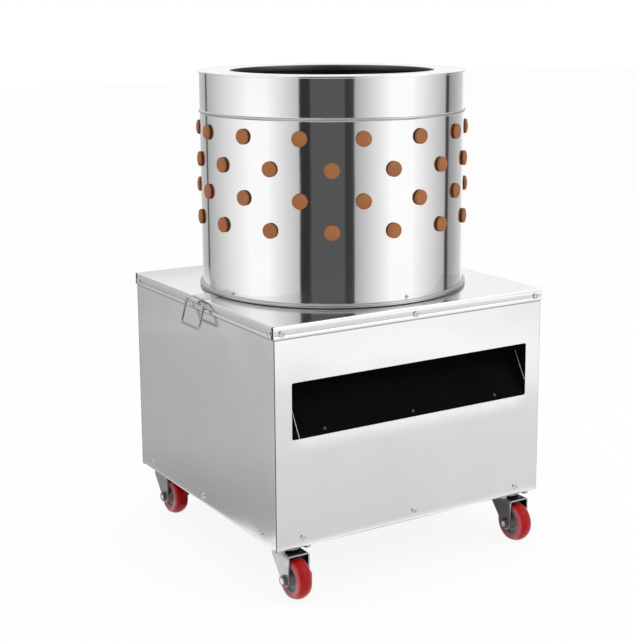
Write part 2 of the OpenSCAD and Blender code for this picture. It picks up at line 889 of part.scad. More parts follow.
// Places of the rotor fingers on the plate's underside, +Z pointing up
module rotor_finger_places() {
  for (k = [0 : rings - 1]) {
    count = ring_count + 5 * k;
    for (i = [0 : count - 1])
      rotate([0, 0, 360 * (i + 0.5 * k) / count])
        translate([ring_r + k * ring_pitch, 0, plate_z]) children();
  }
}

module rotor_fingers() {
  color("darkorange") rotor_finger_places() finger(rotor_finger_len, rotor_t + set_gap);
}

module rotor_plate() {
  color("silver") difference() {
    translate([0, 0, plate_z]) ring(rotor_d / 2, bore_r, rotor_t);
    rotor_finger_places() translate([0, 0, -cut]) cylinder(r = neck_hole_r, h = rotor_t + 2 * cut);
  }
}

module rotor_hub() {
  color("gray") difference() {
    translate([0, 0, hub_z]) union() {
      cylinder(r = shaft_r + 13, h = hub_h);
      translate([0, 0, hub_h - 8]) cylinder(d = hub_flange_d, h = 8);
    }
    translate([0, 0, hub_z - cut]) cylinder(r = bore_r, h = hub_h + 2 * cut);
  }
}

module rotor_cap() {
  color("gainsboro") translate([0, 0, plate_top]) difference() {
    rotate_extrude()
      polygon([[0, 0], [38, 0], [38, 3], [26, 7], [24, 18], [16, 25], [6, 28], [0, 28]]);
    translate([0, 0, -cut]) cylinder(r = bore_r, h = 15 + cut);
  }
}

module drum_shell() {
  color("silver") difference() {
    translate([0, 0, lid_z]) rotate_extrude($fn = 144) {
      translate([drum_in, 0]) square([drum_wall, drum_h - rim_sheet]);
      intersection() {
        translate([drum_r - drum_wall / 2, drum_h - bead_drop]) circle(bead_r, $fn = 32);
        translate([drum_in, 0]) square([4 * bead_r, drum_h]);
      }
      intersection() {
        translate([drum_r + foot_r / 2, foot_r + 0.3]) circle(foot_r, $fn = 32);
        translate([drum_in, 0]) square([4 * foot_r, drum_h]);
      }
    }
    drum_finger_places() cylinder(r = neck_hole_r, h = 30, center = true);
    drum_rivet_places() cylinder(d = rivet_neck + set_gap, h = 12, center = true);
  }
}

module drum_rim() {
  outer = drum_r + rim_over;
  mouth = mouth_d / 2;
  color("gainsboro") translate([0, 0, rim_z - rim_lip]) rotate_extrude($fn = 144)
    polygon([
      [mouth, 0], [mouth + rim_sheet, 0], [mouth + rim_sheet, rim_lip - rim_sheet],
      [drum_r + set_gap, rim_lip - rim_sheet], [drum_r + set_gap, rim_lip - rim_edge],
      [outer, rim_lip - rim_edge], [outer, rim_lip], [mouth, rim_lip]
    ]);
}

// Rivets in the drum's wall above its foot, one at the front and one at the back, +Z pointing out
module drum_rivet_places() {
  for (a = [0, 180])
    rotate([0, 0, a]) translate([0, -drum_r - set_gap / 4, drum_rivet_z]) rotate([90, 0, 0]) children();
}

module drum_rivets() {
  color("gray") drum_rivet_places() rivet(drum_wall);
}

// Rectangular wire loop hanging from its hinge bar in the XZ plane's -X side
module latch_bail(side) {
  half = bail_w / 2 - bail_r;
  color("gainsboro") translate([side * bail_x, 0, bail_z]) rotate([0, -side * bail_tilt, 0]) {
    for (y = [-1, 1]) {
      translate([0, y * half, -bail_l]) cylinder(r = bail_r, h = bail_l);
      for (z = [0, -bail_l])
        translate([0, y * half, z]) sphere(bail_r);
    }
    for (z = [0, -bail_l])
      translate([0, 0, z]) rotate([90, 0, 0]) cylinder(r = bail_r, h = 2 * half, center = true);
  }
}

module latch_bail_left() {
  latch_bail(-1);
}

module latch_bail_right() {
  latch_bail(1);
}

// Places of the start button (above) and the stop button, +Z pointing out of the box
module button_place(side) {
  translate([box_x, box_y, box_z + side * button_pitch / 2]) rotate([-90, 0, 0]) children();
}

module button_bore() {
  translate([0, 0, -12]) cylinder(r = button_r + free_gap, h = 12 + cut);
}

module switch_box() {
  color([0.85, 0.86, 0.86]) difference() {
    translate([box_x, out_y, box_z]) rotate([-90, 0, 0])
      linear_extrude(box_depth) rounded(box_w, box_h, 6);
    button_place(1) button_bore();
    button_place(-1) button_bore();
  }
}

module button(side) {
  button_place(side) translate([0, 0, -8]) rotate_extrude()
    polygon([
      [0, 0], [button_r, 0], [button_r, 7 + button_proud], [button_r - 1, 8 + button_proud],
      [0, 8 + button_proud]
    ]);
}

module start_button() {
  color("green") button(1);
}

module stop_button() {
  color("red") button(-1);
}

// Cable gland hanging from the switch box's lower edge
module cable_gland() {
  color([0.15, 0.15, 0.16]) translate([box_x, out_y + box_depth / 2, box_z - box_h / 2]) difference() {
    union() {
      translate([0, 0, -8]) cylinder(d = gland_bore + 10, h = 8, $fn = 6);
      translate([0, 0, -24]) cylinder(d = gland_bore + 7, h = 24);
    }
    translate([0, 0, -24 - cut]) cylinder(d = gland_bore, h = 24 + 2 * cut);
  }
}

// Castor top plates with the upper race and the kingpin
module castor_plates() {
  color("gainsboro") difference() {
    castor_places() {
      translate([0, 0, castor_h - plate_t]) linear_extrude(plate_t) rounded(plate_l, plate_w, 5);
      rotate_extrude()
        polygon([
          [0, crown_z - fork_t - 3], [kingpin_r + 2, crown_z - fork_t - 3],
          [kingpin_r + 2, crown_z - fork_t - free_gap], [kingpin_r, crown_z - fork_t - free_gap],
          [kingpin_r, crown_z + race_step], [race_r + 1, crown_z + race_step],
          [race_r + 3, crown_z + race_h / 2], [race_r + 3, crown_z + 0.7 * race_h],
          [race_r - 1, castor_h - plate_t], [0, castor_h - plate_t]
        ]);
    }
    castor_bolt_places() bolt_hole(16);
  }
}

// Side outline of a fork in the YZ plane: straight front edge, tapered back, round end at the axle
module fork_outline() {
  axle = [-trail, wheel_r];
  back = [fork_back, crown_z - 12];
  reach = norm(back - axle);
  end_r = fork_front - trail + 0.4;
  turn = atan2(back[1] - axle[1], back[0] - axle[0]) - acos(end_r / reach);
  translate(axle) circle(end_r);
  polygon([
    [-fork_front, crown_z + cut], [fork_back, crown_z + cut], back,
    axle + (end_r - 0.4) * [cos(turn), sin(turn)], axle, [-fork_front, wheel_r]
  ]);
}

// Bent fork with rounded shoulders, swivel axis on Z, wheel trailing towards -Y
module castor_fork(x, y) {
  color("gainsboro") translate([x * castor_x, y * castor_y, 0]) difference() {
    union() {
      intersection() {
        rotate([90, 0, 0]) linear_extrude(3 * trail + 60, center = true) difference() {
          translate([0, crown_z - 60]) rounded(fork_w, 120, 6);
          translate([0, crown_z - fork_t - 60]) rounded(fork_w - 2 * fork_t, 120, 3);
        }
        rotate([90, 0, 90]) linear_extrude(fork_w + 2 * cut, center = true) fork_outline();
      }
      translate([0, 0, crown_z - cut]) cylinder(r = race_r, h = cut + race_step - free_gap);
    }
    translate([0, 0, crown_z - fork_t - cut])
      cylinder(r = kingpin_r + run_fit, h = fork_t + race_step + 2 * cut);
    translate([0, -trail, wheel_r]) rotate([0, 90, 0])
      cylinder(d = axle_d + 2 * run_fit, h = 2 * fork_w, center = true);
  }
}

// Axle bolt with washers, a hexagon head and a nut outside the fork's arms
module castor_axle(x, y) {
  washer_t = 1.5;
  face = fork_w / 2 + set_gap / 2;
  color("gray") translate([x * castor_x, y * castor_y - trail, wheel_r]) rotate([0, 90, 0]) {
    cylinder(d = axle_d, h = 2 * face + axle_d, center = true);
    for (s = [-1, 1]) {
      translate([0, 0, s * (face + washer_t / 2)]) cylinder(d = 2.1 * axle_d, h = washer_t, center = true);
      translate([0, 0, s * (face + washer_t + axle_d / 4)])
        cylinder(d = 1.8 * axle_d, h = axle_d / 2, center = true, $fn = 6);
    }
  }
}

// Wheel core with hub, web and rim
module wheel_core(x, y) {
  hub = fork_w / 2 - fork_t - free_gap;
  half = tread_w / 2 - 1;
  r = wheel_core_r;
  color("lightgray") translate([x * castor_x, y * castor_y - trail, wheel_r]) rotate([0, 90, 0])
    rotate_extrude() polygon([
      [axle_d / 2 + run_fit, -hub], [axle_d / 2 + 5, -hub], [axle_d / 2 + 7, -half + 4], [r - 5, -half + 4],
      [r - 3, -half], [r, -half], [r, half], [r - 3, half], [r - 5, half - 4], [axle_d / 2 + 7, half - 4],
      [axle_d / 2 + 5, hub], [axle_d / 2 + run_fit, hub]
    ]);
}

// Crowned tread bonded round the core
module wheel_tread(x, y) {
  half = tread_w / 2;
  crown = 5;
  r = (half * half + crown * crown) / (2 * crown);
  color([0.72, 0.08, 0.1]) translate([x * castor_x, y * castor_y - trail, wheel_r]) rotate([0, 90, 0])
    rotate_extrude() difference() {
      intersection() {
        translate([0, -half]) square([wheel_r, tread_w]);
        translate([wheel_r - r, 0]) circle(r, $fn = 144);
      }
      translate([-cut, -half - cut]) square([wheel_core_r + 0.05 + cut, tread_w + 2 * cut]);
    }
}

base_rails();
upper_frame();
front_panel();
rear_panel();
left_panel();
right_panel();
lid();
panel_screws();
chute();
chute_rivets();
latch_straps();
bearing_bridges();
bearing_housings();
frame_bolts();
shaft_seal();
motor_rails();
motor_plate();
motor_housing();
motor_fan_cover();
motor_terminal_box();
drive_belt();
switch_box();
cable_gland();
castor_plates();
main_shaft();
rotor_plate();
rotor_fingers();
rotor_hub();
rotor_cap();
driven_pulley();
bearing_rings();
motor_shaft();
motor_pulley();
motor_fan();
drum_shell();
drum_rim();
drum_fingers();
drum_rivets();
latch_bail_left();
latch_bail_right();
start_button();
stop_button();
castor_fork(-1, -1);  // castor_fork_front_left
castor_axle(-1, -1);  // castor_axle_front_left
wheel_core(-1, -1);  // wheel_core_front_left
wheel_tread(-1, -1);  // wheel_tread_front_left
castor_fork(1, -1);  // castor_fork_front_right
castor_axle(1, -1);  // castor_axle_front_right
wheel_core(1, -1);  // wheel_core_front_right
wheel_tread(1, -1);  // wheel_tread_front_right
castor_fork(-1, 1);  // castor_fork_rear_left
castor_axle(-1, 1);  // castor_axle_rear_left
wheel_core(-1, 1);  // wheel_core_rear_left
wheel_tread(-1, 1);  // wheel_tread_rear_left
castor_fork(1, 1);  // castor_fork_rear_right
castor_axle(1, 1);  // castor_axle_rear_right
wheel_core(1, 1);  // wheel_core_rear_right
wheel_tread(1, 1);  // wheel_tread_rear_right
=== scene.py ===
"""Looks of a drum poultry plucker: a finger-lined steel drum on a sheet-steel cabinet with castors.

The file is laid out as an add-on and run as a script. Lengths are millimetres, and metres in the studio, in
the part's own frame: +X to the right of the front, +Y to the back, +Z up, the origin on the floor under the
drum's axis.
"""

import math

import bpy
import numpy as np
from mathutils import Matrix, Vector


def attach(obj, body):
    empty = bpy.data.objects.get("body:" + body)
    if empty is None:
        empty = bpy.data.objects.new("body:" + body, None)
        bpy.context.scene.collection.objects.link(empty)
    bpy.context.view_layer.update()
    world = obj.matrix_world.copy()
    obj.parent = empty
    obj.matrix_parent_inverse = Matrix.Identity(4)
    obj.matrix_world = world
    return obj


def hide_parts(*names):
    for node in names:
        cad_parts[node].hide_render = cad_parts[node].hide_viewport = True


bl_info = {
    "name": "Drum Plucker Looks",
    "version": (1, 0, 0),
    "blender": (4, 5, 0),
    "location": "View3D > Sidebar > Plucker",
    "description": "Builds the finished surfaces, finishes and studio of a drum poultry plucker",
    "category": "Object",
}

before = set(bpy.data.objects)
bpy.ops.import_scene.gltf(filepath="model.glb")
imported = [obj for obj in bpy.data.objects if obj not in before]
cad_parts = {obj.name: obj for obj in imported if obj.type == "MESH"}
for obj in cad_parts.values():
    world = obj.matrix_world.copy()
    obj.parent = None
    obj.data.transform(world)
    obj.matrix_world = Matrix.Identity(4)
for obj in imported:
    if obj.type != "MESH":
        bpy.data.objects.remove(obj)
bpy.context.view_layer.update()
MM = 0.001

# Sizes shared with the solids

# Lid: half width, half depth, top; sheet, flange, corner slot; throat and the ring inside the drum's foot
LID_X, LID_Y, LID_Z = 291.0, 280.0, 495.0
LID_SHEET, LID_FLANGE, LID_SLOT = 2.0, 22.5, 6.0
THROAT_R, SPIGOT_R, SPIGOT_H = 244.0, 246.5, 18.0
# Panels: outer faces at the sides and the front, inner face at the front, foot
PANEL_X, PANEL_Y, PANEL_IN_Y, FOOT_Z = 289.0, 278.0, 276.5, 95.0
# Chute: sill of the outlet, slope of the apron, how far up it the rivets sit and how far apart
SILL_Z, APRON_ANGLE, RIVET_RISE, RIVET_PITCH = 292.0, 60.0, 10.0, 187.0
# Drum: outer radius, wall, rolled foot and the gap under it; rim; bead; rivets
DRUM_R, DRUM_WALL, ROLL_R, ROLL_GAP = 250.0, 1.5, 4.0, 0.3
RIM_Z, MOUTH_R, RIM_R = 902.0, 193.0, 252.4
RIM_LIP, RIM_EDGE, RIM_SHEET, RIM_GAP = 12.0, 4.0, 1.5, 0.2
BEAD_Z, BEAD_R = RIM_Z - 75.0, 3.0
RIVET_R, RIVET_H, RIVET_GAP, DRUM_RIVET_Z = 3.5, 2.2, 0.05, 508.0
# Fingers: head, neck, root and tip; length and grip in the drum and in the rotor. HEAD_H is the head's
# height without the dome of its face, HEAD_EDGE its rounding.
HEAD_R, HEAD_H, HEAD_EDGE = 14.0, 7.2, 4.0
NECK_R, ROOT_R, TIP_R, TIP_L = 9.8, 12.0, 7.0, 6.0
DRUM_FINGER = (82.0, 2.0)
ROTOR_FINGER = (78.0, 4.2)
# Rows of drum fingers; height of the rotor plate and its rings of fingers: how many, radius, phase in pitches
ROW_FINGERS, ROWS, ROW_FIRST, ROW_PITCH, ROW_PHASE = 14, 4, 108.0, 54.5, 45.0
PLATE_Z = 504.0
RINGS = ((6, 82.0, 0.0), (11, 144.0, 0.5), (16, 206.0, 1.0))
# Screws: rise of a head, heights in lid and panels, distances from the lid's edges, screws of the straps
SCREW_HEAD_H, LID_SCREW_Z, PANEL_SCREW_Z = 3.2, 482.0, 113.0
LID_SCREW_IN, PANEL_SCREW_IN = 16.0, 55.0
STRAP_FACE_X, STRAP_SCREW_Y = 293.0, 23.0
# Bails: hinge, loop, wire and resting tilt
BAIL_X, BAIL_Z, BAIL_W, BAIL_L, BAIL_R, BAIL_TILT = 296.55, 489.45, 76.0, 46.0, 2.5, 15.0
# Castors: swivel axis, wheel, tread, the fork's inner half width and the faces of its crown
CASTORS = {"front_left": (-1, -1), "front_right": (1, -1), "rear_left": (-1, 1), "rear_right": (1, 1)}
CASTOR_X, CASTOR_Y, TRAIL, WHEEL_R = 246.0, 244.0, 24.0, 37.5
TREAD_HALF, TREAD_CROWN, CORE_R = 14.0, 5.0, 25.05
FORK_IN, CROWN_UNDER_Z, CROWN_Z = 19.4, 81.6, 84.3

# Sizes of the scene's own forms

DRUM_SEGMENTS, SPIGOT_SEGMENTS, TREAD_SEGMENTS = 512, 192, 96
FINGER_SEGMENTS, SCREW_SEGMENTS, RIVET_SEGMENTS, WIRE_SEGMENTS = 26, 48, 28, 18
LID_BEND, TREAD_EDGE = 2.6, 0.6
# The screws' heads are this much wider than the solids', as the photo shows them
SCREW_SPREAD = 1.2
# Bright folded edges beside the apron, the right one up on the cheek: half width, length, lower and upper
# face, start in Y, then each one's X and its rise above the sill
EDGE_HALF, EDGE_L, EDGE_UNDER, EDGE_TOP, EDGE_Y = 0.7, 125.0, -0.3, 0.9, 0.2 - PANEL_IN_Y
APRON_EDGES = ((-241.0, 0.3), (255.2, 30.0))
# The painted highlight band below the outlet: its height, and where it fades out sideways
BAND_H, BAND_FADE = 30.0, (225.0, 268.0)


def rgb(*values):
    """Linear colour from display values of 0 to 255."""
    v = np.array(values, float) / 255.0
    return tuple(np.where(v <= 0.04045, v / 12.92, ((v + 0.055) / 1.055) ** 2.4))


def scaled(colour, share):
    return tuple(share * c for c in colour)


def grey(level):
    return (level, level, level)


def colour_property(name, description, default):
    return bpy.props.FloatVectorProperty(
        name=name, description=description, default=default, size=3, min=0, max=1, subtype="COLOR"
    )


def length_property(name, description, default):
    return bpy.props.FloatProperty(
        name=name, description=description, default=default, min=0, unit="LENGTH", subtype="DISTANCE"
    )


class PluckerSizes(bpy.types.PropertyGroup):
    """Small forms that a user may change."""

    rib_pitch: length_property("Rib pitch", "Distance from rib to rib on a rubber finger", 6.4 * MM)
    rib_depth: length_property("Rib depth", "How deep the grooves between a finger's ribs are", 1.2 * MM)
    head_dome: length_property("Head dome", "Rise of a finger head's face", 1.5 * MM)
    recess_depth: length_property("Recess depth", "Depth of the cross recess in a screw head", 1.5 * MM)
    wire_bend: length_property("Wire bend", "Bend radius at a bail's corners", 5.0 * MM)


class PluckerColours(bpy.types.PropertyGroup):
    """Colours that a user may change."""

    panel: colour_property("Panel steel", "Satin steel of the cabinet", (0.80, 0.80, 0.81))
    drum: colour_property("Drum steel", "Bright rolled steel of the drum", (0.90, 0.90, 0.90))
    finger: colour_property("Finger rubber", "Rubber of the plucking fingers", rgb(166, 102, 56))
    tread: colour_property("Tread", "Cast tread of the wheels", rgb(172, 2, 9))
    # The core's grey is darker than its own light grey plastic: the darkening is painted shade between fork
    # and tread.
    core: colour_property("Wheel core", "Moulded core of the wheels", rgb(118, 113, 115))
    zinc: colour_property("Zinc", "Plating of the castors", (0.62, 0.63, 0.65))


# Surfaces


def rounded_path(corners, radii, steps=6):
    """A corner path with its corners rounded: each corner becomes an arc tangent to both of its edges.

    corners is (n, 2) and open, radii one value for each corner (0 keeps the corner, and both ends stay).
    """
    corners = np.asarray(corners, float)
    out = [corners[:1]]
    for a, b, c, r in zip(corners[:-2], corners[1:-1], corners[2:], radii[1:-1]):
        u, v = (a - b) / np.linalg.norm(a - b), (c - b) / np.linalg.norm(c - b)
        half = 0.5 * math.acos(np.clip(u @ v, -1, 1))
        straight = half > 1.57
        if r <= 0 or straight:
            out.append(b[None])
            continue
        reach = r / math.tan(half)
        centre = b + (u + v) / np.linalg.norm(u + v) * r / math.sin(half)
        p, q = b + u * reach - centre, b + v * reach - centre
        t = np.linspace(0, 1, steps)[:, None]
        turn = math.acos(np.clip(p @ q / r / r, -1, 1))
        out.append(centre + (np.sin((1 - t) * turn) * p + np.sin(t * turn) * q) / math.sin(turn))
    out.append(corners[-1:])
    return np.concatenate(out)


def grid_faces(rows, columns, close_rows=False, close_columns=True):
    """Corner numbers of the quads of a grid of points, row by row, joined round where asked."""
    i = np.arange(rows if close_rows else rows - 1)
    j = np.arange(columns if close_columns else columns - 1)
    i, j = np.meshgrid(i, j, indexing="ij")
    k, m = (i + 1) % rows, (j + 1) % columns
    return np.stack([i * columns + j, i * columns + m, k * columns + m, k * columns + j], -1).reshape(-1, 4)


def lathe(profile, segments, closed=True):
    """Surface of revolution about Z: (r cos t, r sin t, z) for each (r, z) of the profile, t over a turn.

    A closed profile is joined end to start. An open one has its ends on the axis, and each end's ring is
    drawn together into one point.
    """
    rows = len(profile)
    t = np.arange(segments) / segments * 2 * np.pi
    r, z = profile[:, :1], profile[:, 1:]
    points = np.stack([r * np.cos(t), r * np.sin(t), np.broadcast_to(z, (rows, segments))], -1)
    faces = grid_faces(rows, segments, close_rows=closed)
    if not closed:
        last = (rows - 1) * segments
        faces[faces < segments] = 0
        faces[faces > last] = last
    return points.reshape(-1, 3), faces


def upright(r, z):
    """Profile points at one radius and the given heights."""
    return np.stack([np.full_like(z, r), z], 1)


def copies(points, faces, frames):
    """The same shape at many places: each frame is (4, 4), and point p goes to R p + t."""
    frames = np.asarray(frames, float)
    placed = np.einsum("kij,nj->kni", frames[:, :3, :3], points) + frames[:, None, :3, 3]
    shifted = faces[None] + (np.arange(len(frames)) * len(points))[:, None, None]
    return placed.reshape(-1, 3), shifted.reshape(-1, 4)


def facing_out(points, faces):
    """A shape with its faces turned round if its volume, the sum of a . (b x c) / 6, comes out negative."""
    a, b, c, d = (points[faces[:, k]] for k in range(4))
    volume = np.einsum("ij,ij->", a, np.cross(b, c)) + np.einsum("ij,ij->", a, np.cross(c, d))
    return points, faces if volume > 0 else faces[:, ::-1]


def folded_strip(outer, inner, length):
    """Sheet folded to a section and run straight along Y: outer and inner are its faces, point for point."""
    loop = np.concatenate([outer, inner[::-1]])
    n = len(outer)
    u, y = np.meshgrid(loop[:, 0], [-length / 2, length / 2], indexing="ij")
    points = np.stack([u, y, np.broadcast_to(loop[:, 1:], u.shape)], -1).reshape(-1, 3)
    sides = grid_faces(2 * n, 2, close_rows=True, close_columns=False)
    i = np.arange(n - 1)
    cap = np.stack([i, i + 1, 2 * n - 2 - i, 2 * n - 1 - i], 1) * 2
    return facing_out(points, np.concatenate([sides, cap, cap[:, ::-1] + 1]))


def bar(x, y, z):
    """A straight bar between the two values given for each axis."""
    points = np.stack(np.meshgrid(x, y, z, indexing="ij"), -1).reshape(-1, 3)
    quads = [[0, 1, 3, 2], [4, 6, 7, 5], [0, 4, 5, 1], [2, 3, 7, 6], [0, 2, 6, 4], [1, 5, 7, 3]]
    return facing_out(points, np.array(quads))


def soft_max(a, b, sharp):
    """The larger of two curves, with the corner between them rounded: log(exp(s a) + exp(s b)) / s."""
    return np.logaddexp(sharp * a, sharp * b) / sharp


def turned(axis, degrees):
    return np.array(Matrix.Rotation(math.radians(degrees), 4, axis))


def moved(x, y, z):
    return np.array(Matrix.Translation((x, y, z)))


def new_object(name, points, faces):
    """A mesh object in the scene, from lists of points in metres and of faces."""
    mesh = bpy.data.meshes.new(name)
    mesh.from_pydata(points, [], faces)
    piece = bpy.data.objects.new(name, mesh)
    bpy.context.scene.collection.objects.link(piece)
    return piece


MATERIALS = {}


def put_piece(name, points, faces, body, finishes, slot, nodes=(), finish_index=None):
    """Makes a piece from millimetre points and quads, drops corners drawn together, and mounts it."""
    points = np.asarray(points) * MM
    used, number = np.unique(faces, return_inverse=True)
    faces = number.reshape(faces.shape)
    double = faces == np.roll(faces, -1, 1)
    lists = faces.tolist()
    for k in np.flatnonzero(double.any(1)):
        lists[k] = faces[k][~double[k]].tolist()
    piece = new_object(name, points[used].tolist(), lists)
    mesh = piece.data
    mesh.polygons.foreach_set("use_smooth", np.ones(len(lists), bool))
    if finish_index is not None:
        mesh.polygons.foreach_set("material_index", finish_index.astype(np.int32))
    for finish in finishes:
        mesh.materials.append(MATERIALS[finish])
    mesh.update()
    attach(piece, body)
    if nodes:
        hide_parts(*nodes)
    return piece


# Shader nodes


def put(socket, value):
    """Gives a socket a value: another node's output is linked, anything else is set."""
    if isinstance(value, bpy.types.NodeSocket):
        socket.id_data.links.new(value, socket)
    else:
        socket.default_value = value


def add_node(tree, kind, inputs=(), **settings):
    """Adds a node with its settings and its inputs, by name or number, and returns its outputs."""
    node = tree.nodes.new(f"ShaderNode{kind}")
    for name, value in settings.items():
        setattr(node, name, value)
    for socket, value in dict(inputs).items():
        put(node.inputs[socket], value)
    return node.outputs


def math_node(tree, operation, *values):
    return add_node(tree, "Math", enumerate(values), operation=operation)[0]


def noise_node(tree, vector, scale, detail, roughness=0.5):
    inputs = {"Vector": vector, "Scale": scale, "Detail": detail, "Roughness": roughness}
    return add_node(tree, "TexNoise", inputs)["Fac"]


def ramp_node(tree, value, start, end, low=0.0, high=1.0):
    """Runs from low to high while the value goes from start to end, and stays there outside."""
    inputs = {"Value": value, "From Min": start, "From Max": end, "To Min": low, "To Max": high}
    return add_node(tree, "MapRange", inputs)["Result"]


def colour_mix(tree, share, first, second):
    return add_node(tree, "Mix", {0: share, 6: first, 7: second}, data_type="RGBA")[2]


def new_material(name):
    """A material with nodes, and its node tree."""
    material = bpy.data.materials.new(name)
    material.use_nodes = True
    return material, material.node_tree


def effect_group(name, inputs, outputs):
    """A shader node group with named sockets. inputs and outputs are (name, kind of socket, default)."""
    group = bpy.data.node_groups.new(name, "ShaderNodeTree")
    for direction, sockets in (("INPUT", inputs), ("OUTPUT", outputs)):
        for label, kind, default in sockets:
            socket = group.interface.new_socket(name=label, in_out=direction, socket_type=f"NodeSocket{kind}")
            if default is not None:
                socket.default_value = default
    given, out = group.nodes.new("NodeGroupInput"), group.nodes.new("NodeGroupOutput")
    return group, given.outputs, out.inputs


def grain_effect():
    """Rolled or brushed grain: noise stretched by a vector, so that it runs in long fine lines."""
    group, given, out = effect_group(
        "Steel Grain",
        [("Vector", "Vector", None), ("Stretch", "Vector", (4, 4, 900)), ("Base", "Float", 0.3),
         ("Spread", "Float", 0.1)],
        [("Roughness", "Float", None), ("Height", "Float", None)],
    )
    vectors = {0: given["Vector"], 1: given["Stretch"]}
    stretched = add_node(group, "VectorMath", vectors, operation="MULTIPLY")[0]
    lines = noise_node(group, stretched, 1.0, 5.0, roughness=0.65)
    centred = math_node(group, "SUBTRACT", lines, 0.5)
    put(out["Roughness"], math_node(group, "MULTIPLY_ADD", centred, given["Spread"], given["Base"]))
    put(out["Height"], lines)
    return group


def tone_effect():
    """Slow change of tone: two noises of different size mix a colour with a darker one of its own."""
    group, given, out = effect_group(
        "Slow Tone",
        [("Vector", "Vector", None), ("Scale", "Float", 6.0), ("Light", "Color", (0.8, 0.8, 0.8, 1)),
         ("Dark", "Color", (0.6, 0.6, 0.6, 1)), ("Fine", "Float", 12.0)],
        [("Color", "Color", None), ("Mask", "Float", None)],
    )
    broad = noise_node(group, given["Vector"], given["Scale"], 3.0)
    fine_scale = math_node(group, "MULTIPLY", given["Scale"], given["Fine"])
    fine = noise_node(group, given["Vector"], fine_scale, 4.0)
    mask = ramp_node(group, math_node(group, "MULTIPLY_ADD", fine, 0.35, broad), 0.45, 0.9)
    put(out["Color"], colour_mix(group, mask, given["Dark"], given["Light"]))
    put(out["Mask"], mask)
    return group


EFFECTS = {"grain": grain_effect(), "tone": tone_effect()}


class Finish:
    """One material being built: Object coordinates in, one Principled BSDF out."""

    def __init__(self, name, **sockets):
        self.material, self.tree = new_material(name)
        self.shader = self.tree.nodes["Principled BSDF"]
        self.place = add_node(self.tree, "TexCoord")["Object"]
        for socket, value in sockets.items():
            self.feed(socket.replace("_", " "), value)

    def feed(self, socket, value):
        put(self.shader.inputs[socket], value)

    def fed(self, socket):
        """The output that feeds one of the shader's sockets."""
        return self.shader.inputs[socket].links[0].from_socket

    def group(self, effect, **inputs):
        """Places a shared effect with its own values."""
        return add_node(self.tree, "Group", {"Vector": self.place, **inputs}, node_tree=EFFECTS[effect])

    def axes(self):
        """X, Y and Z of the Object coordinates."""
        return add_node(self.tree, "SeparateXYZ", {0: self.place})

    def math(self, operation, *values):
        return math_node(self.tree, operation, *values)

    def squares(self, a, b):
        """a a + b b"""
        return self.math("ADD", self.math("MULTIPLY", a, a), self.math("MULTIPLY", b, b))

    def castor_side(self, x):
        """Distance sideways from the middle of the nearest castor: abs(abs(x) - CASTOR_X)."""
        return self.math("ABSOLUTE", self.math("SUBTRACT", self.math("ABSOLUTE", x), CASTOR_X * MM))

    def band(self, place, start, end, low, high):
        """A ramp over a length, with its start and end in millimetres."""
        return ramp_node(self.tree, place, start * MM, end * MM, low, high)

    def tone(self, light, depth, scale, fine=12.0):
        """Base Color that changes slowly between a colour and the same colour made darker by depth."""
        dark = scaled(light, 1 - depth)
        out = self.group("tone", Scale=scale, Light=(*light, 1), Dark=(*dark, 1), Fine=fine)
        self.feed("Base Color", out["Color"])
        return out["Mask"]

    def tint(self, mask, colour):
        """Mixes what feeds Base Color with another colour by a mask."""
        self.feed("Base Color", colour_mix(self.tree, mask, self.fed("Base Color"), (*colour, 1)))

    def bump(self, height, strength, distance, soft_edge=0.0, under=None):
        """Normal from a height in metres, laid over an earlier bump or over edges softened by a radius."""
        inputs = {"Height": height, "Strength": strength, "Distance": distance}
        if soft_edge:
            under = add_node(self.tree, "Bevel", {"Radius": soft_edge}, samples=4)["Normal"]
        if under:
            inputs["Normal"] = under
        self.feed("Normal", add_node(self.tree, "Bump", inputs)["Normal"])

    def coat(self, colour, tone, gloss, grain):
        """What plating, paint, rubber and plastic share.

        tone is the tone's depth, scale and fineness, gloss the roughness where it is dark and where it is
        light, grain a noise's scale and detail, then its bump's strength, height and softened edge.
        """
        mask = self.tone(colour, *tone)
        self.feed("Roughness", ramp_node(self.tree, mask, 0.0, 1.0, *gloss))
        scale, detail, *bump = grain
        self.bump(noise_node(self.tree, self.place, scale, detail), *bump)


# Finishes


def steel(name, colour, roughness, spread, stretch, depth=0.05, bump=0.08, wave=0.0):
    """Rolled stainless steel: stretched grain in the gloss, a faint slow change of tone, softened edges.

    wave is the height in metres of the slow unevenness that bends what a wide sheet mirrors.
    """
    f = Finish(name, Metallic=1.0)
    f.tone(colour, depth, 5.0)
    grain = f.group("grain", Stretch=stretch, Base=roughness, Spread=spread)
    f.feed("Roughness", grain["Roughness"])
    f.bump(grain["Height"], bump, 0.00005, soft_edge=0.0008)
    if wave:
        f.bump(noise_node(f.tree, f.place, 7.0, 1.0), 1.0, wave, under=f.fed("Normal"))
    return f


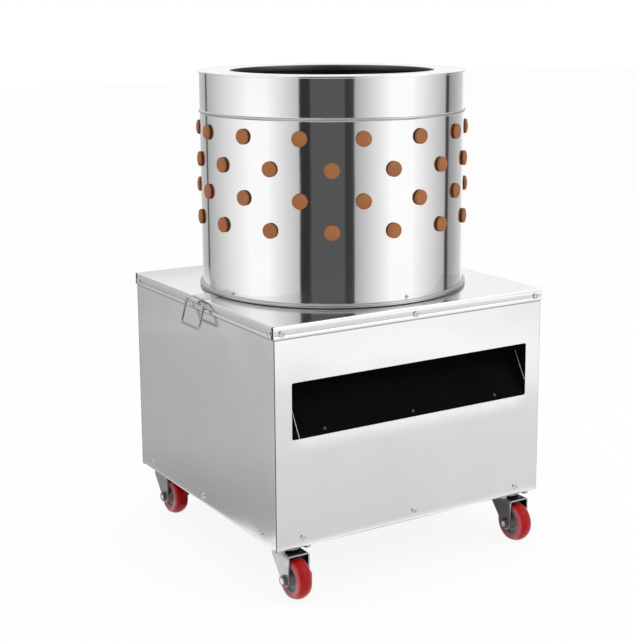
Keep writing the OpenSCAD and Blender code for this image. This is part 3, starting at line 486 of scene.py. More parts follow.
def panel_steel(name, colour, sill=False):
    """Satin sheet of a cabinet panel.

    It has a painted shadow in the slit under the lid's flange; along the folded foot it is dull, and pale
    from a painted highlight. With a sill, the same dull painted highlight lies below the outlet, within the
    outlet's width, and its two cut ends are darkened by painted shade, for the shade in the corner seams.
    """
    f = steel(name, colour, 0.16, 0.06, (5, 5, 700), wave=0.002)
    x, _, z = f.axes()
    slit = LID_Z - LID_FLANGE
    rough = f.math("MAXIMUM", f.fed("Roughness"), f.band(z, FOOT_Z + 4.0, FOOT_Z + 10.0, 0.42, 0.0))
    # Painted highlight: a pale band along the folded foot, where its bend catches light
    painted_highlight = f.band(z, FOOT_Z + 5.0, FOOT_Z + 13.0, 0.95, 0.0)
    # Painted shadow in the slit under the lid's flange
    dark = f.band(z, slit - 3.5, slit - 0.3, 0.0, 0.9)
    if sill:
        across = f.math("ABSOLUTE", x)
        # Painted highlight below the outlet's sill, where the sheet bends in
        rise = f.band(z, SILL_Z - BAND_H, SILL_Z, 0.0, 0.9)
        below = f.math("MULTIPLY", rise, f.band(across, *BAND_FADE, 1.0, 0.0))
        below = f.math("MULTIPLY", below, f.math("LESS_THAN", z, (SILL_Z + 0.5) * MM))
        painted_highlight = f.math("MAXIMUM", painted_highlight, below)
        rough = f.math("MAXIMUM", rough, f.math("MULTIPLY", below, 0.55))
        # Painted shade on the front's two cut ends, for the shade in the corner seams
        dark = f.math("MAXIMUM", dark, f.band(across, PANEL_X - 0.7, PANEL_X - 0.3, 0.0, 0.9))
    f.feed("Roughness", rough)
    f.tint(painted_highlight, grey(0.98))
    f.tint(dark, grey(0.02))
    return f


def plated(name, colour, gloss):
    """Zinc plating: patches of slightly different tone over pressed steel."""
    f = Finish(name, Metallic=1.0)
    f.coat(colour, (0.22, 60.0, 4.0), gloss, (900.0, 4.0, 0.12, 0.0001, 0.0006))
    return f


def pressed_fork(name, colour):
    """Castor fork: plated outside; painted shade in the channel where the wheel runs and on top of the crown.
    """
    f = plated(name, colour, (0.38, 0.26))
    x, _, z = f.axes()
    between = f.math("LESS_THAN", f.castor_side(x), FORK_IN * MM)
    inside = f.math("MULTIPLY", between, f.math("LESS_THAN", z, CROWN_UNDER_Z * MM))
    # Painted shade: the channel and the crown's top are made near-black where they lie in shade
    f.tint(f.math("MAXIMUM", inside, f.math("GREATER_THAN", z, CROWN_Z * MM)), grey(0.03))
    return f


def axle_steel(name, colour):
    """Axle bolts: dull dark plating, bright on the end of the bolt, within 5 mm of the axle's line.

    Both ramps run over the square of the distance from that line.
    """
    f = plated(name, colour, (0.3, 0.3))
    _, y, z = f.axes()
    ahead = f.math("ABSOLUTE", f.math("ADD", y, TRAIL * MM))
    ahead = f.math("SUBTRACT", ahead, CASTOR_Y * MM)
    off = f.squares(ahead, f.math("SUBTRACT", z, WHEEL_R * MM))
    f.tint(ramp_node(f.tree, off, 0.005 ** 2, 0.0065 ** 2), grey(0.2))
    f.feed("Metallic", ramp_node(f.tree, off, 0.004 ** 2, 0.0055 ** 2, 0.3, 1.0))
    return f


def paint(name, colour, roughness, grain=500.0, bump=0.15, depth=0.15, shine=0.5):
    """Sprayed paint: fine orange-peel bump and a slow change of tone."""
    f = Finish(name, Specular_IOR_Level=shine)
    gloss = (roughness + 0.08, roughness - 0.05)
    f.coat(colour, (depth, 14.0, 12.0), gloss, (grain, 4.0, bump, 0.0003, 0.0008))
    return f


def rubber(name, colour, roughness, depth, shine):
    """Moulded rubber: dull, mottled, with a fine grain."""
    f = Finish(name, Specular_IOR_Level=shine)
    gloss = (roughness + 0.1, roughness - 0.06)
    f.coat(colour, (depth, 45.0, 8.0), gloss, (1400.0, 6.0, 0.25, 0.0002))
    return f


def finger_rubber(name, colour):
    """Finger rubber, with painted shade in the crease where a head meets the outside of the drum's wall."""
    f = rubber(name, colour, 0.62, 0.18, 0.3)
    x, y, _ = f.axes()
    reach = f.math("SQRT", f.squares(x, y))
    outside = f.math("GREATER_THAN", reach, (DRUM_R - 1.0) * MM)
    crease = f.band(reach, DRUM_R + 0.8, DRUM_R + 4.5, 0.85, 0.0)
    # Painted shade in the crease around each drum finger's head
    f.tint(f.math("MULTIPLY", outside, crease), grey(0.01))
    return f


def cast_tread(name, colour):
    """Cast polyurethane tread: deep red on the crown, faint scuffs; milky shoulders with a painted
    reflection.
    """
    f = Finish(name, Specular_IOR_Level=0.2, Sheen_Weight=0.35, Sheen_Roughness=0.35)
    f.coat(colour, (0.16, 40.0, 9.0), (0.36, 0.26), (700.0, 4.0, 0.06, 0.0002))
    x, _, _ = f.axes()
    # The pale pink at both shoulders is partly the cast's milky edge, partly a painted reflection of the
    # white surroundings
    f.tint(f.band(f.castor_side(x), 9.5, 14.2, 0.0, 0.5), rgb(214, 126, 134))
    return f


def moulded(name, colour, roughness):
    """Moulded plastic: fine spark-eroded grain and softened edges."""
    f = Finish(name)
    gloss = (roughness + 0.06, roughness - 0.04)
    f.coat(colour, (0.07, 25.0, 10.0), gloss, (1600.0, 3.0, 0.12, 0.0002, 0.0008))
    return f


def make_finishes(colours):
    """All finishes, by the name of what wears them."""
    panel, drum, zinc = tuple(colours.panel), tuple(colours.drum), tuple(colours.zinc)
    finishes = dict(
        panel=panel_steel("Satin panel steel", panel),
        # The front's steel is 4% lighter than the sides': a lit copy of the same steel, painted light
        front=panel_steel("Satin front steel", scaled(panel, 1.04), sill=True),
        lid=steel("Bright lid steel", (0.86, 0.86, 0.87), 0.13, 0.05, (5, 600, 5), bump=0.04, wave=0.0006),
        drum=steel("Bright drum steel", drum, 0.08, 0.04, (300, 300, 3), depth=0.06, bump=0.03, wave=0.0006),
        # Painted shade: near-black steel inside the drum and down the rim's mouth, where the steel is dark
        # only from shade
        drum_inside=steel("Drum inside in painted shade", (0.14, 0.14, 0.145), 0.34, 0.12, (260, 260, 4), depth=0.2),
        # Darker than the drum's steel; on the lid's groove rows it is painted shade
        roll=steel("Rolled foot steel, groove shade", scaled(drum, 0.55), 0.3, 0.1, (90, 90, 90), depth=0.1),
        rim=steel("Bright rim steel", drum, 0.16, 0.06, (90, 90, 90), depth=0.04),
        rotor=steel("Rotor steel", drum, 0.30, 0.14, (40, 40, 40), depth=0.1),
        bright=steel("Bright fastener steel", (0.72, 0.72, 0.73), 0.22, 0.12, (300, 300, 300), depth=0.12),
        wire=steel("Bail wire", (0.5, 0.5, 0.51), 0.16, 0.1, (300, 300, 300), depth=0.12),
        dull=plated("Dull rivets", grey(0.12), (0.6, 0.45)),
        turned=steel("Turned steel", (0.56, 0.56, 0.57), 0.3, 0.15, (60, 60, 900), depth=0.1),
        fork=pressed_fork("Pressed fork plating", zinc),
        plate=paint("Castor plates", rgb(196, 198, 200), 0.5),
        bolt=plated("Zinc bolts", scaled(zinc, 0.9), (0.5, 0.35)),
        axle=axle_steel("Axle bolts", grey(0.9)),
        # Dark grey: partly the frame's own paint, partly painted shade, so the corner seams where it shows
        # look shaded
        frame=paint("Frame paint with painted seam shade", rgb(66, 68, 70), 0.5),
        # Painted shade: the chute is near-black because its inside lies in shade
        chute=paint("Black chute, painted shade", rgb(12, 12, 12), 0.8, grain=300.0, bump=0.08, depth=0.3, shine=0.03),
        cast=paint("Cast housings", rgb(92, 96, 98), 0.6, grain=240.0, bump=0.6, depth=0.3),
        motor=paint("Motor paint", rgb(96, 108, 118), 0.42, grain=420.0, bump=0.3),
        finger=finger_rubber("Finger rubber", tuple(colours.finger)),
        black_rubber=rubber("Belt rubber", rgb(30, 30, 31), 0.7, 0.3, 0.35),
        tread=cast_tread("Red tread", tuple(colours.tread)),
        # Painted shade: the core is darker than its own plastic, for the shade between fork and tread.
        core=moulded("Wheel core plastic", tuple(colours.core), 0.42),
        black_plastic=moulded("Black plastic", rgb(26, 26, 27), 0.5),
        box=moulded("Switch box plastic", rgb(214, 215, 214), 0.48),
        green=moulded("Start button plastic", rgb(34, 138, 62), 0.28),
        red=moulded("Stop button plastic", rgb(186, 30, 30), 0.28),
    )
    MATERIALS.update({name: finish.material for name, finish in finishes.items()})


NODE_FINISHES = {
    "frame": ("base_rails", "upper_frame", "motor_rails", "bearing_bridges", "motor_plate"),
    "panel": ("rear_panel", "left_panel", "right_panel"),
    "front": ("front_panel",),
    "rotor": ("rotor_plate",),
    "chute": ("chute",),
    "bright": ("latch_straps", "rotor_cap"),
    "axle": tuple(f"castor_axle_{c}" for c in CASTORS),
    "turned": ("main_shaft", "bearing_rings", "motor_shaft"),
    "plate": ("castor_plates",),
    "fork": tuple(f"castor_fork_{c}" for c in CASTORS),
    "bolt": ("frame_bolts",),
    "cast": ("bearing_housings", "rotor_hub", "driven_pulley", "motor_pulley"),
    "motor": ("motor_housing", "motor_fan_cover", "motor_terminal_box"),
    "black_rubber": ("drive_belt", "shaft_seal"),
    "black_plastic": ("cable_gland", "motor_fan"),
    "box": ("switch_box",),
    "green": ("start_button",),
    "red": ("stop_button",),
    "core": tuple(f"wheel_core_{c}" for c in CASTORS),
}


class PLUCKER_OT_finishes(bpy.types.Operator):
    """Makes the finishes and lays them on the solids that stay as they are"""

    bl_idname = "plucker.finishes"
    bl_label = "Finishes"

    def execute(self, context):
        make_finishes(context.scene.plucker_colours)
        for finish, nodes in NODE_FINISHES.items():
            for node in nodes:
                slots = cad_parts[node].data.materials
                slots.clear()
                slots.append(MATERIALS[finish])
        return {"FINISHED"}


# Pieces


def wall_profile():
    """Section of the drum's wall, and the finish of each of its rows: 0 drum, 1 painted shade inside, 2 roll.

    The outer line goes from the foot up: the roll, an arc of ROLL_R, then the straight wall, on which the
    bead is the larger of the wall's line and a circle's, with rounded corners.
    """
    inner_r, base, top = DRUM_R - DRUM_WALL, LID_Z + 0.1, RIM_Z - RIM_SHEET
    turn = np.radians(np.linspace(-90, 118, 28))[:, None]
    middle = np.array([DRUM_R + ROLL_R / 2, LID_Z + ROLL_R + ROLL_GAP])
    roll = middle + ROLL_R * np.hstack([np.cos(turn), np.sin(turn)])
    low = upright(DRUM_R, np.concatenate([LID_Z + 8.2 + np.arange(4), [600.0, 700.0, 800.0]]))
    z = BEAD_Z + np.linspace(-7, 7, 43)
    off = abs(z - BEAD_Z)
    behind_wall = 4.0 * (off > BEAD_R)
    circle = DRUM_R - DRUM_WALL / 2 + np.sqrt(np.maximum(BEAD_R ** 2 - off ** 2, 0)) - behind_wall
    bead = np.stack([soft_max(np.full_like(z, DRUM_R), circle, 4.0), z], 1)
    high = [[DRUM_R, 850.0], [DRUM_R, top - 1], [DRUM_R, top], [inner_r, top]]
    outside = np.concatenate([[[inner_r, base], [DRUM_R, base]], roll, low, bead, high])
    profile = np.concatenate([outside, upright(inner_r, np.linspace(top - 1, LID_Z + 1, 9))])
    row = np.arange(len(profile))
    rolled = (row < len(roll) + 2) | (abs(profile[:, 1] - BEAD_Z) < BEAD_R)
    # The inner wall's rows take the painted shade of the drum's inside
    return profile, np.where(row >= len(outside) - 1, 1, np.where(rolled, 2, 0))


def rim_profile():
    """Section of the rim, a flat ring with both edges bent down, and each row's finish: 0 rim, 1 inside's
    painted shade.
    """
    low_z, edge_z, under_z = RIM_Z - RIM_LIP, RIM_Z - RIM_EDGE, RIM_Z - RIM_SHEET
    lip_in, mouth_out = DRUM_R + RIM_GAP, MOUTH_R + RIM_SHEET
    corners = [(mouth_out, low_z), (MOUTH_R, low_z), (MOUTH_R, RIM_Z), (RIM_R, RIM_Z), (RIM_R, edge_z),
               (lip_in, edge_z), (lip_in, under_z), (mouth_out, under_z), (mouth_out, low_z + 0.2)]
    ring = rounded_path(corners, [0, 0.5, 2.2, 1.2, 0.9, 0.5, 0.4, 0.8, 0])
    # Rows down the mouth take the painted shade of the drum's inside
    shaded_inside = (abs(ring[:, 0] - MOUTH_R) < RIM_SHEET + 0.1) & (ring[:, 1] < RIM_Z - 1.5)
    return ring, shaded_inside.astype(int)


class PLUCKER_OT_drum(bpy.types.Operator):
    """Turns the drum's wall with its swaged bead and rolled foot, and the rim on top of it"""

    bl_idname = "plucker.drum"
    bl_label = "Drum"

    def execute(self, context):
        wall, rim = ("drum", "drum_inside", "roll"), ("rim", "drum_inside")
        for name, (profile, finish), finishes, node in (("drum_wall", wall_profile(), wall, "drum_shell"),
                                                        ("drum_rim_ring", rim_profile(), rim, "drum_rim")):
            put_piece(name, *lathe(profile, DRUM_SEGMENTS), "drum", finishes, "drum_steel", [node],
                      np.repeat(finish, DRUM_SEGMENTS))
        return {"FINISHED"}


def lid_sheet():
    """The lid's flat sheet: rings between the throat's circle and the rectangle where the bends start."""
    side = np.linspace(-1, 1, 33)[:-1]
    one = np.ones_like(side)
    sides = ((side, -one), (one, side), (-side, one), (-one, -side))
    edge = np.concatenate([np.stack(pair, 1) for pair in sides]) * [LID_X - LID_BEND, LID_Y - LID_BEND]
    throat = edge / np.linalg.norm(edge, axis=1)[:, None] * THROAT_R
    flat = throat + (edge - throat) * np.linspace(0, 1, 5)[:, None, None]
    rows = np.concatenate([np.dstack([flat, np.full(flat.shape[:2], LID_Z)]),
                           np.dstack([flat[::-1], np.full(flat.shape[:2], LID_Z - LID_SHEET)])])
    return facing_out(rows.reshape(-1, 3), grid_faces(len(rows), len(edge), close_rows=True))


def flange_section():
    """Outer and inner line of a flange, and the number of the first outer point in the groove.

    The outer line is the bend, a quarter circle, the flat, a groove, then the hem folded up outside.
    """
    t = np.radians(np.linspace(90, 0, 9))[:, None]
    arc = np.hstack([np.cos(t), np.sin(t)])
    line = np.array([(-0.3, 7.2), (-0.6, 6.7), (0.3, 6.2), (0.7, 5.4), (1.2, 1.4), (0.8, 0.4), (0.0, 0.0)])
    line += [0, LID_Z - LID_FLANGE]
    middle = np.array([-LID_BEND, LID_Z - LID_BEND])
    outer = np.concatenate([middle + LID_BEND * arc, line])
    inner = np.concatenate([middle + (LID_BEND - LID_SHEET) * arc, upright(-LID_SHEET, line[:, 1])])
    return outer, inner, len(arc)


class PLUCKER_OT_lid(bpy.types.Operator):
    """Folds the lid: a flat sheet with a round throat, four flanges with a rounded bend and a grooved hem"""

    bl_idname = "plucker.lid"
    bl_label = "Lid"

    def execute(self, context):
        low, high = LID_Z - LID_SHEET, LID_Z + SPIGOT_H
        ring = np.array([[THROAT_R, low], [SPIGOT_R, low], [SPIGOT_R, high], [THROAT_R, high]])
        shapes = [lid_sheet(), facing_out(*lathe(ring, SPIGOT_SEGMENTS))]
        outer, inner, groove = flange_section()
        side_length = 2 * (LID_Y - LID_SHEET - LID_SLOT)
        for turn, reach, length in ((0, LID_X, side_length), (90, LID_Y, 2 * LID_X)):
            strip = folded_strip(outer + [reach, 0], inner + [reach, 0], length)
            shapes += [copies(*strip, [turned("Z", turn + half_turn)]) for half_turn in (0, 180)]
        finish = [np.zeros(len(faces), int) for _, faces in shapes]
        # The groove's two rows take the darker rolled steel: painted shade in the groove
        for index in finish[2:]:
            index[[groove, groove + 1]] = 1
        start = np.cumsum([0] + [len(points) for points, _ in shapes[:-1]])
        piece = put_piece("folded_lid", np.concatenate([points for points, _ in shapes]),
                          np.concatenate([faces + k for (_, faces), k in zip(shapes, start)]), "cabinet",
                          ("lid", "roll"), "panel_steel", ["lid"], np.concatenate(finish))
        piece.data.set_sharp_from_angle(angle=math.radians(35))
        return {"FINISHED"}


def finger_profile(length, grip, sizes):
    """Half outline of a ribbed rubber finger along +Z.

    The head's face is a shallow dome with a rounded edge, the neck sits in the sheet, and the body's radius
    falls from root to tip while a raised cosine of rib_pitch cuts grooves of rib_depth into it.
    """
    pitch, depth, dome = sizes.rib_pitch / MM, sizes.rib_depth / MM, sizes.head_dome / MM
    flat_r = HEAD_R - HEAD_EDGE
    r = np.linspace(0, flat_r, 6)
    face = np.stack([r, -HEAD_H - dome * (1 - (r / flat_r) ** 2)], 1)
    t = np.radians(np.linspace(-78, 0, 7))
    edge = np.stack([flat_r + HEAD_EDGE * np.cos(t), -HEAD_H + HEAD_EDGE + HEAD_EDGE * np.sin(t)], 1)
    neck = [[HEAD_R, -1.2], [HEAD_R - 1.0, -0.15], [NECK_R, -0.1], [NECK_R, grip], [ROOT_R - 1.0, grip],
            [ROOT_R, grip + 1.0], [ROOT_R, grip + 7.0]]
    start, end = grip + 8.0, length - TIP_L
    s = np.linspace(start, end, 41)
    body = ROOT_R + (TIP_R + 0.6 - ROOT_R) * (s - start) / (end - start)
    groove = (0.5 - 0.5 * np.cos(2 * np.pi * (s - start) / pitch)) ** 2
    body = np.stack([body - depth * groove, s], 1)
    t = np.radians(np.linspace(12, 90, 7))
    tip = np.stack([(TIP_R + 0.3) * np.cos(t), end + TIP_L * np.sin(t)], 1)
    tip[-1, 0] = 0
    return np.concatenate([face, edge, neck, body, tip])


class PLUCKER_OT_fingers(bpy.types.Operator):
    """Moulds the ribbed rubber fingers of the drum and of the rotor"""

    bl_idname = "plucker.fingers"
    bl_label = "Fingers"

    def execute(self, context):
        pitch = 360.0 / ROW_FINGERS
        in_drum = [
            turned("Z", ROW_PHASE + pitch * (i + 0.5 * ((row + 1) % 2)))
            @ moved(0, -DRUM_R, RIM_Z - ROW_FIRST - row * ROW_PITCH) @ turned("X", -90)
            for row in range(ROWS) for i in range(ROW_FINGERS)
        ]
        in_rotor = [
            turned("Z", 360.0 * (i + phase) / count) @ moved(radius, 0, PLATE_Z)
            for count, radius, phase in RINGS for i in range(count)
        ]
        for body, size, places in (("drum", DRUM_FINGER, in_drum), ("rotor", ROTOR_FINGER, in_rotor)):
            profile = finger_profile(*size, context.scene.plucker_sizes)
            shape = lathe(profile, FINGER_SEGMENTS, closed=False)
            put_piece(f"{body}_finger_set", *copies(*shape, places), body, ["finger"], "finger_rubber",
                      [f"{body}_fingers"])
        return {"FINISHED"}


def screw_head(recess):
    """Pan head with a cross recess over a polar grid: height = dome(r) - recess * cross(r, t) * fade(r)."""
    top_r = np.array([0, 0.4, 0.8, 1.1, 1.4, 1.7, 2.0, 2.2, 2.4, 2.7, 3.1, 3.6, 4.0])
    edge = np.array([(4.3, 2.4), (4.55, 2.0), (4.7, 1.6), (4.75, 1.2), (4.75, 0.0)])
    r = np.concatenate([top_r, edge[:, 0]])[:, None]
    dome = np.concatenate([SCREW_HEAD_H - 0.55 * (top_r / 4.0) ** 2, edge[:, 1]])[:, None]
    t = np.arange(SCREW_SEGMENTS) / SCREW_SEGMENTS * 2 * np.pi
    x, y = r * np.cos(t), r * np.sin(t)
    cross = 1 / (1 + np.exp((np.minimum(abs(x), abs(y)) - 0.5) * 14))
    fade = 1 / (1 + np.exp((r - 2.3) * 10))
    points = np.stack([SCREW_SPREAD * x, SCREW_SPREAD * y, dome - recess * (cross * fade)], -1)
    faces = grid_faces(len(r), SCREW_SEGMENTS)[:, ::-1]
    faces[faces < SCREW_SEGMENTS] = 0
    return points.reshape(-1, 3), faces


def screw_places():
    """Frames of the screws of the lid, the latch straps and the panels, +Z pointing out of the sheet."""
    lid_x, lid_y = LID_X - LID_SCREW_IN, LID_Y - LID_SCREW_IN
    panel_x, panel_y = LID_X - PANEL_SCREW_IN, LID_Y - PANEL_SCREW_IN
    places = []
    for s in (-1, 1):
        front, side = turned("X", -90 * s), turned("Y", 90 * s)
        places += [moved(i * lid_x, s * LID_Y, LID_SCREW_Z) @ front for i in (-1, 0, 1)]
        places += [moved(s * LID_X, i * lid_y, LID_SCREW_Z) @ side for i in (-1, 1)]
        places += [moved(s * STRAP_FACE_X, i * STRAP_SCREW_Y, LID_SCREW_Z) @ side for i in (-1, 1)]
        for i in (-1, 0, 1):
            places.append(moved(i * panel_x, s * PANEL_Y, PANEL_SCREW_Z) @ front)
            places.append(moved(s * PANEL_X, i * panel_y, PANEL_SCREW_Z) @ side)
    return places


class PLUCKER_OT_fasteners(bpy.types.Operator):
    """Sets the screws of the cabinet, the rivets of chute and drum, and the bright edges beside the apron"""

    bl_idname = "plucker.fasteners"
    bl_label = "Fasteners"

    def execute(self, context):
        screw = screw_head(context.scene.plucker_sizes.recess_depth / MM)
        spun = [place @ turned("Z", 37.0 * k) for k, place in enumerate(screw_places())]
        put_piece("cabinet_screws", *copies(*screw, spun), "cabinet", ["bright"], "bright_steel",
                  ["panel_screws"])

        # A rivet's head is a quarter-round dome: r = R cos t, z = h sin t.
        t = np.radians(np.linspace(0, 90, 9))
        dome = np.stack([RIVET_R * np.cos(t), RIVET_H * np.sin(t)], 1)
        dome[-1, 0] = 0
        rivet = lathe(np.concatenate([[[0, 0]], dome]), RIVET_SEGMENTS, closed=False)
        slope, lean = math.radians(APRON_ANGLE), turned("X", APRON_ANGLE)
        y, z = RIVET_RISE * math.cos(slope) - PANEL_IN_Y, SILL_Z + RIVET_RISE * math.sin(slope)
        places = [moved(i * RIVET_PITCH, y, z) @ lean for i in (-1, 0, 1)]
        put_piece("sill_rivets", *copies(*rivet, places), "cabinet", ["dull"], "bright_steel",
                  ["chute_rivets"])
        edge = bar((-EDGE_HALF, EDGE_HALF), (0.0, EDGE_L), (EDGE_UNDER, EDGE_TOP))
        places = [moved(x, EDGE_Y, SILL_Z + rise) @ lean for x, rise in APRON_EDGES]
        put_piece("apron_edges", *copies(*edge, places), "cabinet", ["bright"], "bright_steel")
        out = moved(0, -DRUM_R - RIVET_GAP, DRUM_RIVET_Z) @ turned("X", 90)
        places = [turned("Z", a) @ out for a in (0, 180)]
        put_piece("drum_rivet_heads", *copies(*rivet, places), "drum", ["turned"], "bright_steel",
                  ["drum_rivets"])
        return {"FINISHED"}


class PLUCKER_OT_bails(bpy.types.Operator):
    """Bends the two wire bails"""

    bl_idname = "plucker.bails"
    bl_label = "Bails"

    def execute(self, context):
        # The wire's centre line is a rectangle with rounded corners. A circle of BAIL_R is carried round it.
        bend = context.scene.plucker_sizes.wire_bend / MM
        half = BAIL_W / 2 - BAIL_R
        corners = [(0, 0), (half, 0), (half, -BAIL_L), (-half, -BAIL_L), (-half, 0), (0, 0)]
        line = rounded_path(corners, [0, bend, bend, bend, bend, 0], 10)[:-1]
        ahead = np.roll(line, -1, 0) - np.roll(line, 1, 0)
        ahead /= np.linalg.norm(ahead, axis=1)[:, None]
        side = np.stack([ahead[:, 1], -ahead[:, 0]], 1)
        t = np.arange(WIRE_SEGMENTS) / WIRE_SEGMENTS * 2 * np.pi
        y = line[:, None, 0] + BAIL_R * np.cos(t) * side[:, None, 0]
        z = line[:, None, 1] + BAIL_R * np.cos(t) * side[:, None, 1]
        x = np.broadcast_to(BAIL_R * np.sin(t), y.shape)
        wire = np.stack([x, y, z], -1).reshape(-1, 3)
        faces = grid_faces(len(line), WIRE_SEGMENTS, close_rows=True)[:, ::-1]
        for name, s in (("left", -1), ("right", 1)):
            place = moved(s * BAIL_X, 0, BAIL_Z) @ turned("Y", -s * BAIL_TILT)
            put_piece(f"wire_bail_{name}", *copies(wire, faces, [place]), f"bail_{name}", ["wire"],
                      "bright_steel", [f"latch_bail_{name}"])
        return {"FINISHED"}


class PLUCKER_OT_treads(bpy.types.Operator):
    """Casts the crowned red treads of the wheels"""

    bl_idname = "plucker.treads"
    bl_label = "Treads"

    def execute(self, context):
        # The outline is an arc through the crown and both shoulders, closed by the bore of the core.
        radius = (TREAD_HALF ** 2 + TREAD_CROWN ** 2) / (2 * TREAD_CROWN)
        across = TREAD_HALF * np.sin(np.radians(np.linspace(-90, 90, 33)))
        crown = np.stack([WHEEL_R - radius + np.sqrt(radius ** 2 - across ** 2), across], 1)
        flank = np.array([[CORE_R, TREAD_HALF - TREAD_EDGE], [CORE_R + TREAD_EDGE, TREAD_HALF],
                          [crown[0, 0] - 1.0, TREAD_HALF]])
        tread = lathe(np.concatenate([flank * [1, -1], crown[1:-1], flank[::-1]]), TREAD_SEGMENTS)
        for name, (x, y) in CASTORS.items():
            place = moved(x * CASTOR_X, y * CASTOR_Y - TRAIL, WHEEL_R) @ turned("Y", 90)
            put_piece(f"tread_{name}", *copies(*tread, [place]), f"wheel_{name}", ["tread"], "wheel_tread",
                      [f"wheel_tread_{name}"])
        return {"FINISHED"}


# Studio

CAMERA_PLACE = (-1.3729, -2.2005, 1.0275)
CAMERA_AXES = (
    (0.845631, -0.533757, -0.003379),
    (0.102423, 0.156049, 0.982425),
    (-0.523849, -0.831115, 0.186629),
)
CAMERA_SENSOR, CAMERA_LENS, CAMERA_SHIFT, CAMERA_END = 36.0, 76.2229, (-0.03307, -0.09565), 60.0
# Brightness of the surroundings; the floor's half width, grey and share of plain white
WORLD_STRENGTH = 0.8
FLOOR_HALF, FLOOR_GREY, FLOOR_WHITE = 14, 0.95, 0.9
# Lamps: place, power, size, and whether bright steel mirrors them
LAMP_AIM = (0.0, 0.0, 0.5)
LAMPS = {
    "key_lamp": ((2.2, -2.6, 2.8), 30.0, 2.4, True),
    "fill_lamp": ((-3.0, -1.6, 2.4), 12.0, 2.4, True),
    "top_lamp": ((0.2, 0.6, 3.6), 22.0, 2.6, False),
}
# Upright boards that bright steel mirrors, on a circle round the part: start and end azimuth in degrees,
# height, brightness at the start and at the end
BOARD_DISTANCE = 2.0
BOARDS = (
    (-205.0, -165.9, 0.86, 0.72, 0.47),
    (-165.9, -162.0, 0.86, 0.08, 0.08),
    (-162.0, -104.0, 1.5, 0.43, 1.04),
    (-104.0, -84.0, 1.5, 1.07, 1.07),
    (-84.0, -57.7, 1.5, 1.04, 0.56),
    (-57.7, -49.0, 1.5, 0.025, 0.035),
    (-49.0, -22.0, 1.5, 0.10, 0.10),
    (-22.0, -14.6, 1.5, 0.04, 0.05),
    (-14.6, 14.0, 1.5, 0.45, 1.05),
    (14.0, 38.0, 1.5, 1.10, 1.10),
    (38.0, 76.0, 1.5, 1.04, 0.48),
    (76.0, 81.5, 1.5, 0.06, 0.06),
    (81.5, 116.0, 1.5, 0.30, 0.75),
)
# Grey cards on the floor that the panels mirror: start and end azimuth, near and far edge, brightness near at
# the start and the end, and far at the start and the end. The first, dark, is a painted shadow standing for
# the shade under the cabinet.
CARD_HEIGHT = 0.002
CARDS = (
    (-180.0, 180.0, 0.01, 0.29, 0.05, 0.05, 0.12, 0.12),
    (-180.0, -88.0, 0.42, 0.80, 0.26, 0.42, 0.40, 0.66),
    (-180.0, -88.0, 0.80, 1.97, 0.40, 0.66, 0.34, 0.92),
    (-34.0, 72.0, 0.42, 1.30, 0.72, 0.80, 0.84, 0.84),
    (-34.0, 72.0, 1.30, 1.97, 0.84, 0.84, 1.32, 1.32),
)
# A ring hung over the part, mirrored by faces that look up: inner and outer radius, height, brightness at the
# inner and the outer edge
CANOPY_RADII, CANOPY_HEIGHT, CANOPY_LEVELS = (0.02, 3.4), 4.0, (0.42, 0.80)


def arc_points(start, end, count):
    """Points of a unit circle on the floor, from azimuth to azimuth, counted from -Y towards +X."""
    a = np.radians(np.linspace(start, end, count))
    return np.stack([np.sin(a), -np.cos(a), 0 * a], 1)


def background_mix(tree, lit, strength):
    """White for camera, glossy and transmitted rays, mixed in by strength, and a lit shader for the rest."""
    path = add_node(tree, "LightPath")
    seen = math_node(tree, "MAXIMUM", path["Is Camera Ray"], path["Is Glossy Ray"])
    seen = math_node(tree, "MAXIMUM", seen, path["Is Transmission Ray"])
    share = math_node(tree, "MULTIPLY", seen, strength)
    white = add_node(tree, "Emission", {"Color": (1, 1, 1, 1)})[0]
    return add_node(tree, "MixShader", {0: share, 1: lit, 2: white})[0]


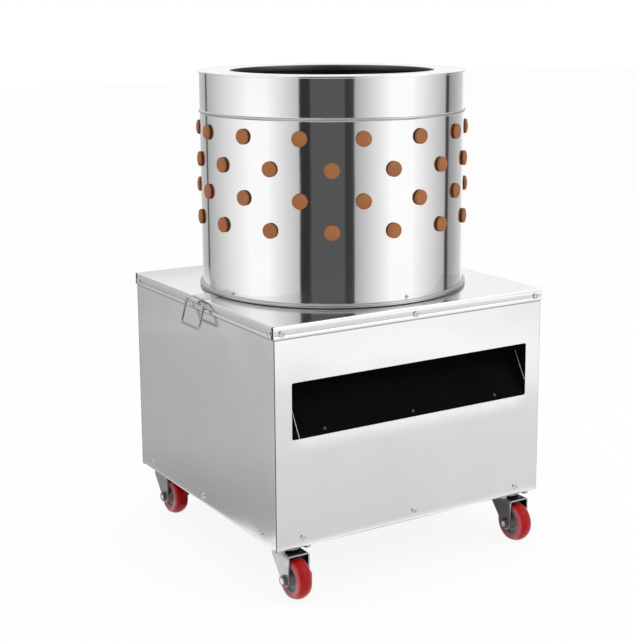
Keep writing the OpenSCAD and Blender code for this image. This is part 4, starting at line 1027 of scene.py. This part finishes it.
class PLUCKER_OT_stage(bpy.types.Operator):
    """Sets the pale floor, the white surroundings, what bright steel mirrors, the lamps and the camera"""

    bl_idname = "plucker.stage"
    bl_label = "Stage"

    def execute(self, context):
        scene = context.scene
        scene.view_settings.view_transform = "Standard"
        self.surroundings(scene)
        for k, (start, end, height, first, last) in enumerate(BOARDS):
            ring = BOARD_DISTANCE * arc_points(start, end, 13)
            level = np.linspace(first, last, len(ring))
            self.mirrored(f"studio_board_{k}", (ring, ring + [0, 0, height]), (level, level))
        for k, (start, end, near, far, *levels) in enumerate(CARDS):
            ring = arc_points(start, end, 25)
            edges = [radius * ring + [0, 0, CARD_HEIGHT] for radius in (near, far)]
            levels = [np.linspace(*pair, len(ring)) for pair in (levels[:2], levels[2:])]
            self.mirrored(f"floor_card_{k}", edges, levels)
        ring = arc_points(-180.0, 180.0, 49)
        edges = [radius * ring + [0, 0, CANOPY_HEIGHT] for radius in CANOPY_RADII]
        self.mirrored("canopy", edges, [np.full(len(ring), level) for level in CANOPY_LEVELS])
        for name, settings in LAMPS.items():
            self.lamp(name, *settings)
        self.camera(scene)
        return {"FINISHED"}

    def surroundings(self, scene):
        """The white world, and a pale floor that keeps the shadow."""
        world = bpy.data.worlds.new("Studio")
        world.use_nodes = True
        scene.world = world
        tree = world.node_tree
        plain = tree.nodes["Background"]
        put(plain.inputs["Color"], (1, 1, 1, 1))
        put(plain.inputs["Strength"], WORLD_STRENGTH)
        put(tree.nodes["World Output"].inputs["Surface"], background_mix(tree, plain.outputs[0], 1.0))

        corners = [(x * FLOOR_HALF, y * FLOOR_HALF, 0) for x, y in ((-1, -1), (1, -1), (1, 1), (-1, 1))]
        floor = new_object("studio_floor", corners, [(0, 1, 2, 3)])
        material, tree = new_material("Pale floor")
        shader = tree.nodes["Principled BSDF"]
        put(shader.inputs["Base Color"], (*grey(FLOOR_GREY), 1))
        put(shader.inputs["Roughness"], 0.8)
        surface = background_mix(tree, shader.outputs[0], FLOOR_WHITE)
        put(tree.nodes["Material Output"].inputs["Surface"], surface)
        floor.data.materials.append(material)

    def mirrored(self, name, edges, levels):
        """A glowing strip between two rows of points, kept out of the picture: only bright steel shows it.

        Each row has its own brightness, point by point, and the strip's runs evenly from row to row.
        """
        faces = grid_faces(2, len(edges[0]), close_columns=False).tolist()
        piece = new_object(name, np.concatenate(edges).tolist(), faces)
        glow_level = piece.data.attributes.new("glow", "FLOAT", "POINT")
        glow_level.data.foreach_set("value", np.concatenate(levels).astype(np.float32))
        piece.visible_camera = False
        piece.visible_diffuse = False
        piece.visible_shadow = False
        material, tree = new_material(name)
        level = add_node(tree, "Attribute", attribute_name="glow")["Fac"]
        glow = add_node(tree, "Emission", {"Strength": level})[0]
        put(tree.nodes["Material Output"].inputs["Surface"], glow)
        piece.data.materials.append(material)

    def lamp(self, name, place, power, size, in_steel):
        """A square lamp that looks at the middle of the part."""
        data = bpy.data.lights.new(name, "AREA")
        data.energy, data.size = power, size
        piece = bpy.data.objects.new(name, data)
        piece.location = place
        aim = Vector(LAMP_AIM) - Vector(place)
        piece.rotation_euler = aim.to_track_quat("-Z", "Y").to_euler()
        piece.visible_glossy = in_steel
        bpy.context.scene.collection.objects.link(piece)

    def camera(self, scene):
        """The camera fitted to the photo."""
        camera = bpy.data.cameras.new("photo_camera")
        camera.sensor_width = CAMERA_SENSOR
        camera.lens = CAMERA_LENS
        camera.shift_x, camera.shift_y = CAMERA_SHIFT
        camera.clip_end = CAMERA_END
        view = bpy.data.objects.new("photo_camera", camera)
        axes = np.eye(4)
        axes[:3, :3] = np.array(CAMERA_AXES).T
        axes[:3, 3] = CAMERA_PLACE
        view.matrix_world = Matrix(axes.tolist())
        scene.collection.objects.link(view)
        scene.camera = view


class PLUCKER_PT_panel(bpy.types.Panel):
    """Lists the plucker's operators and the values they use"""

    bl_idname = "PLUCKER_PT_panel"
    bl_label = "Drum Plucker"
    bl_space_type = "VIEW_3D"
    bl_region_type = "UI"
    bl_category = "Plucker"

    def draw(self, context):
        for group in (context.scene.plucker_sizes, context.scene.plucker_colours):
            for value in group.__annotations__:
                self.layout.prop(group, value)
        for operator in OPERATORS:
            self.layout.operator(operator.bl_idname)


OPERATORS = (
    PLUCKER_OT_finishes, PLUCKER_OT_drum, PLUCKER_OT_lid, PLUCKER_OT_fingers, PLUCKER_OT_fasteners,
    PLUCKER_OT_bails, PLUCKER_OT_treads, PLUCKER_OT_stage,
)
CLASSES = (PluckerSizes, PluckerColours, *OPERATORS, PLUCKER_PT_panel)


def register():
    for item in CLASSES:
        bpy.utils.register_class(item)
    bpy.types.Scene.plucker_sizes = bpy.props.PointerProperty(type=PluckerSizes)
    bpy.types.Scene.plucker_colours = bpy.props.PointerProperty(type=PluckerColours)


def unregister():
    del bpy.types.Scene.plucker_colours
    del bpy.types.Scene.plucker_sizes
    for item in reversed(CLASSES):
        bpy.utils.unregister_class(item)


def main():
    register()
    bpy.ops.plucker.finishes()
    bpy.ops.plucker.drum()
    bpy.ops.plucker.lid()
    bpy.ops.plucker.fingers()
    bpy.ops.plucker.fasteners()
    bpy.ops.plucker.bails()
    bpy.ops.plucker.treads()
    bpy.ops.plucker.stage()


if __name__ == "__main__":
    main()
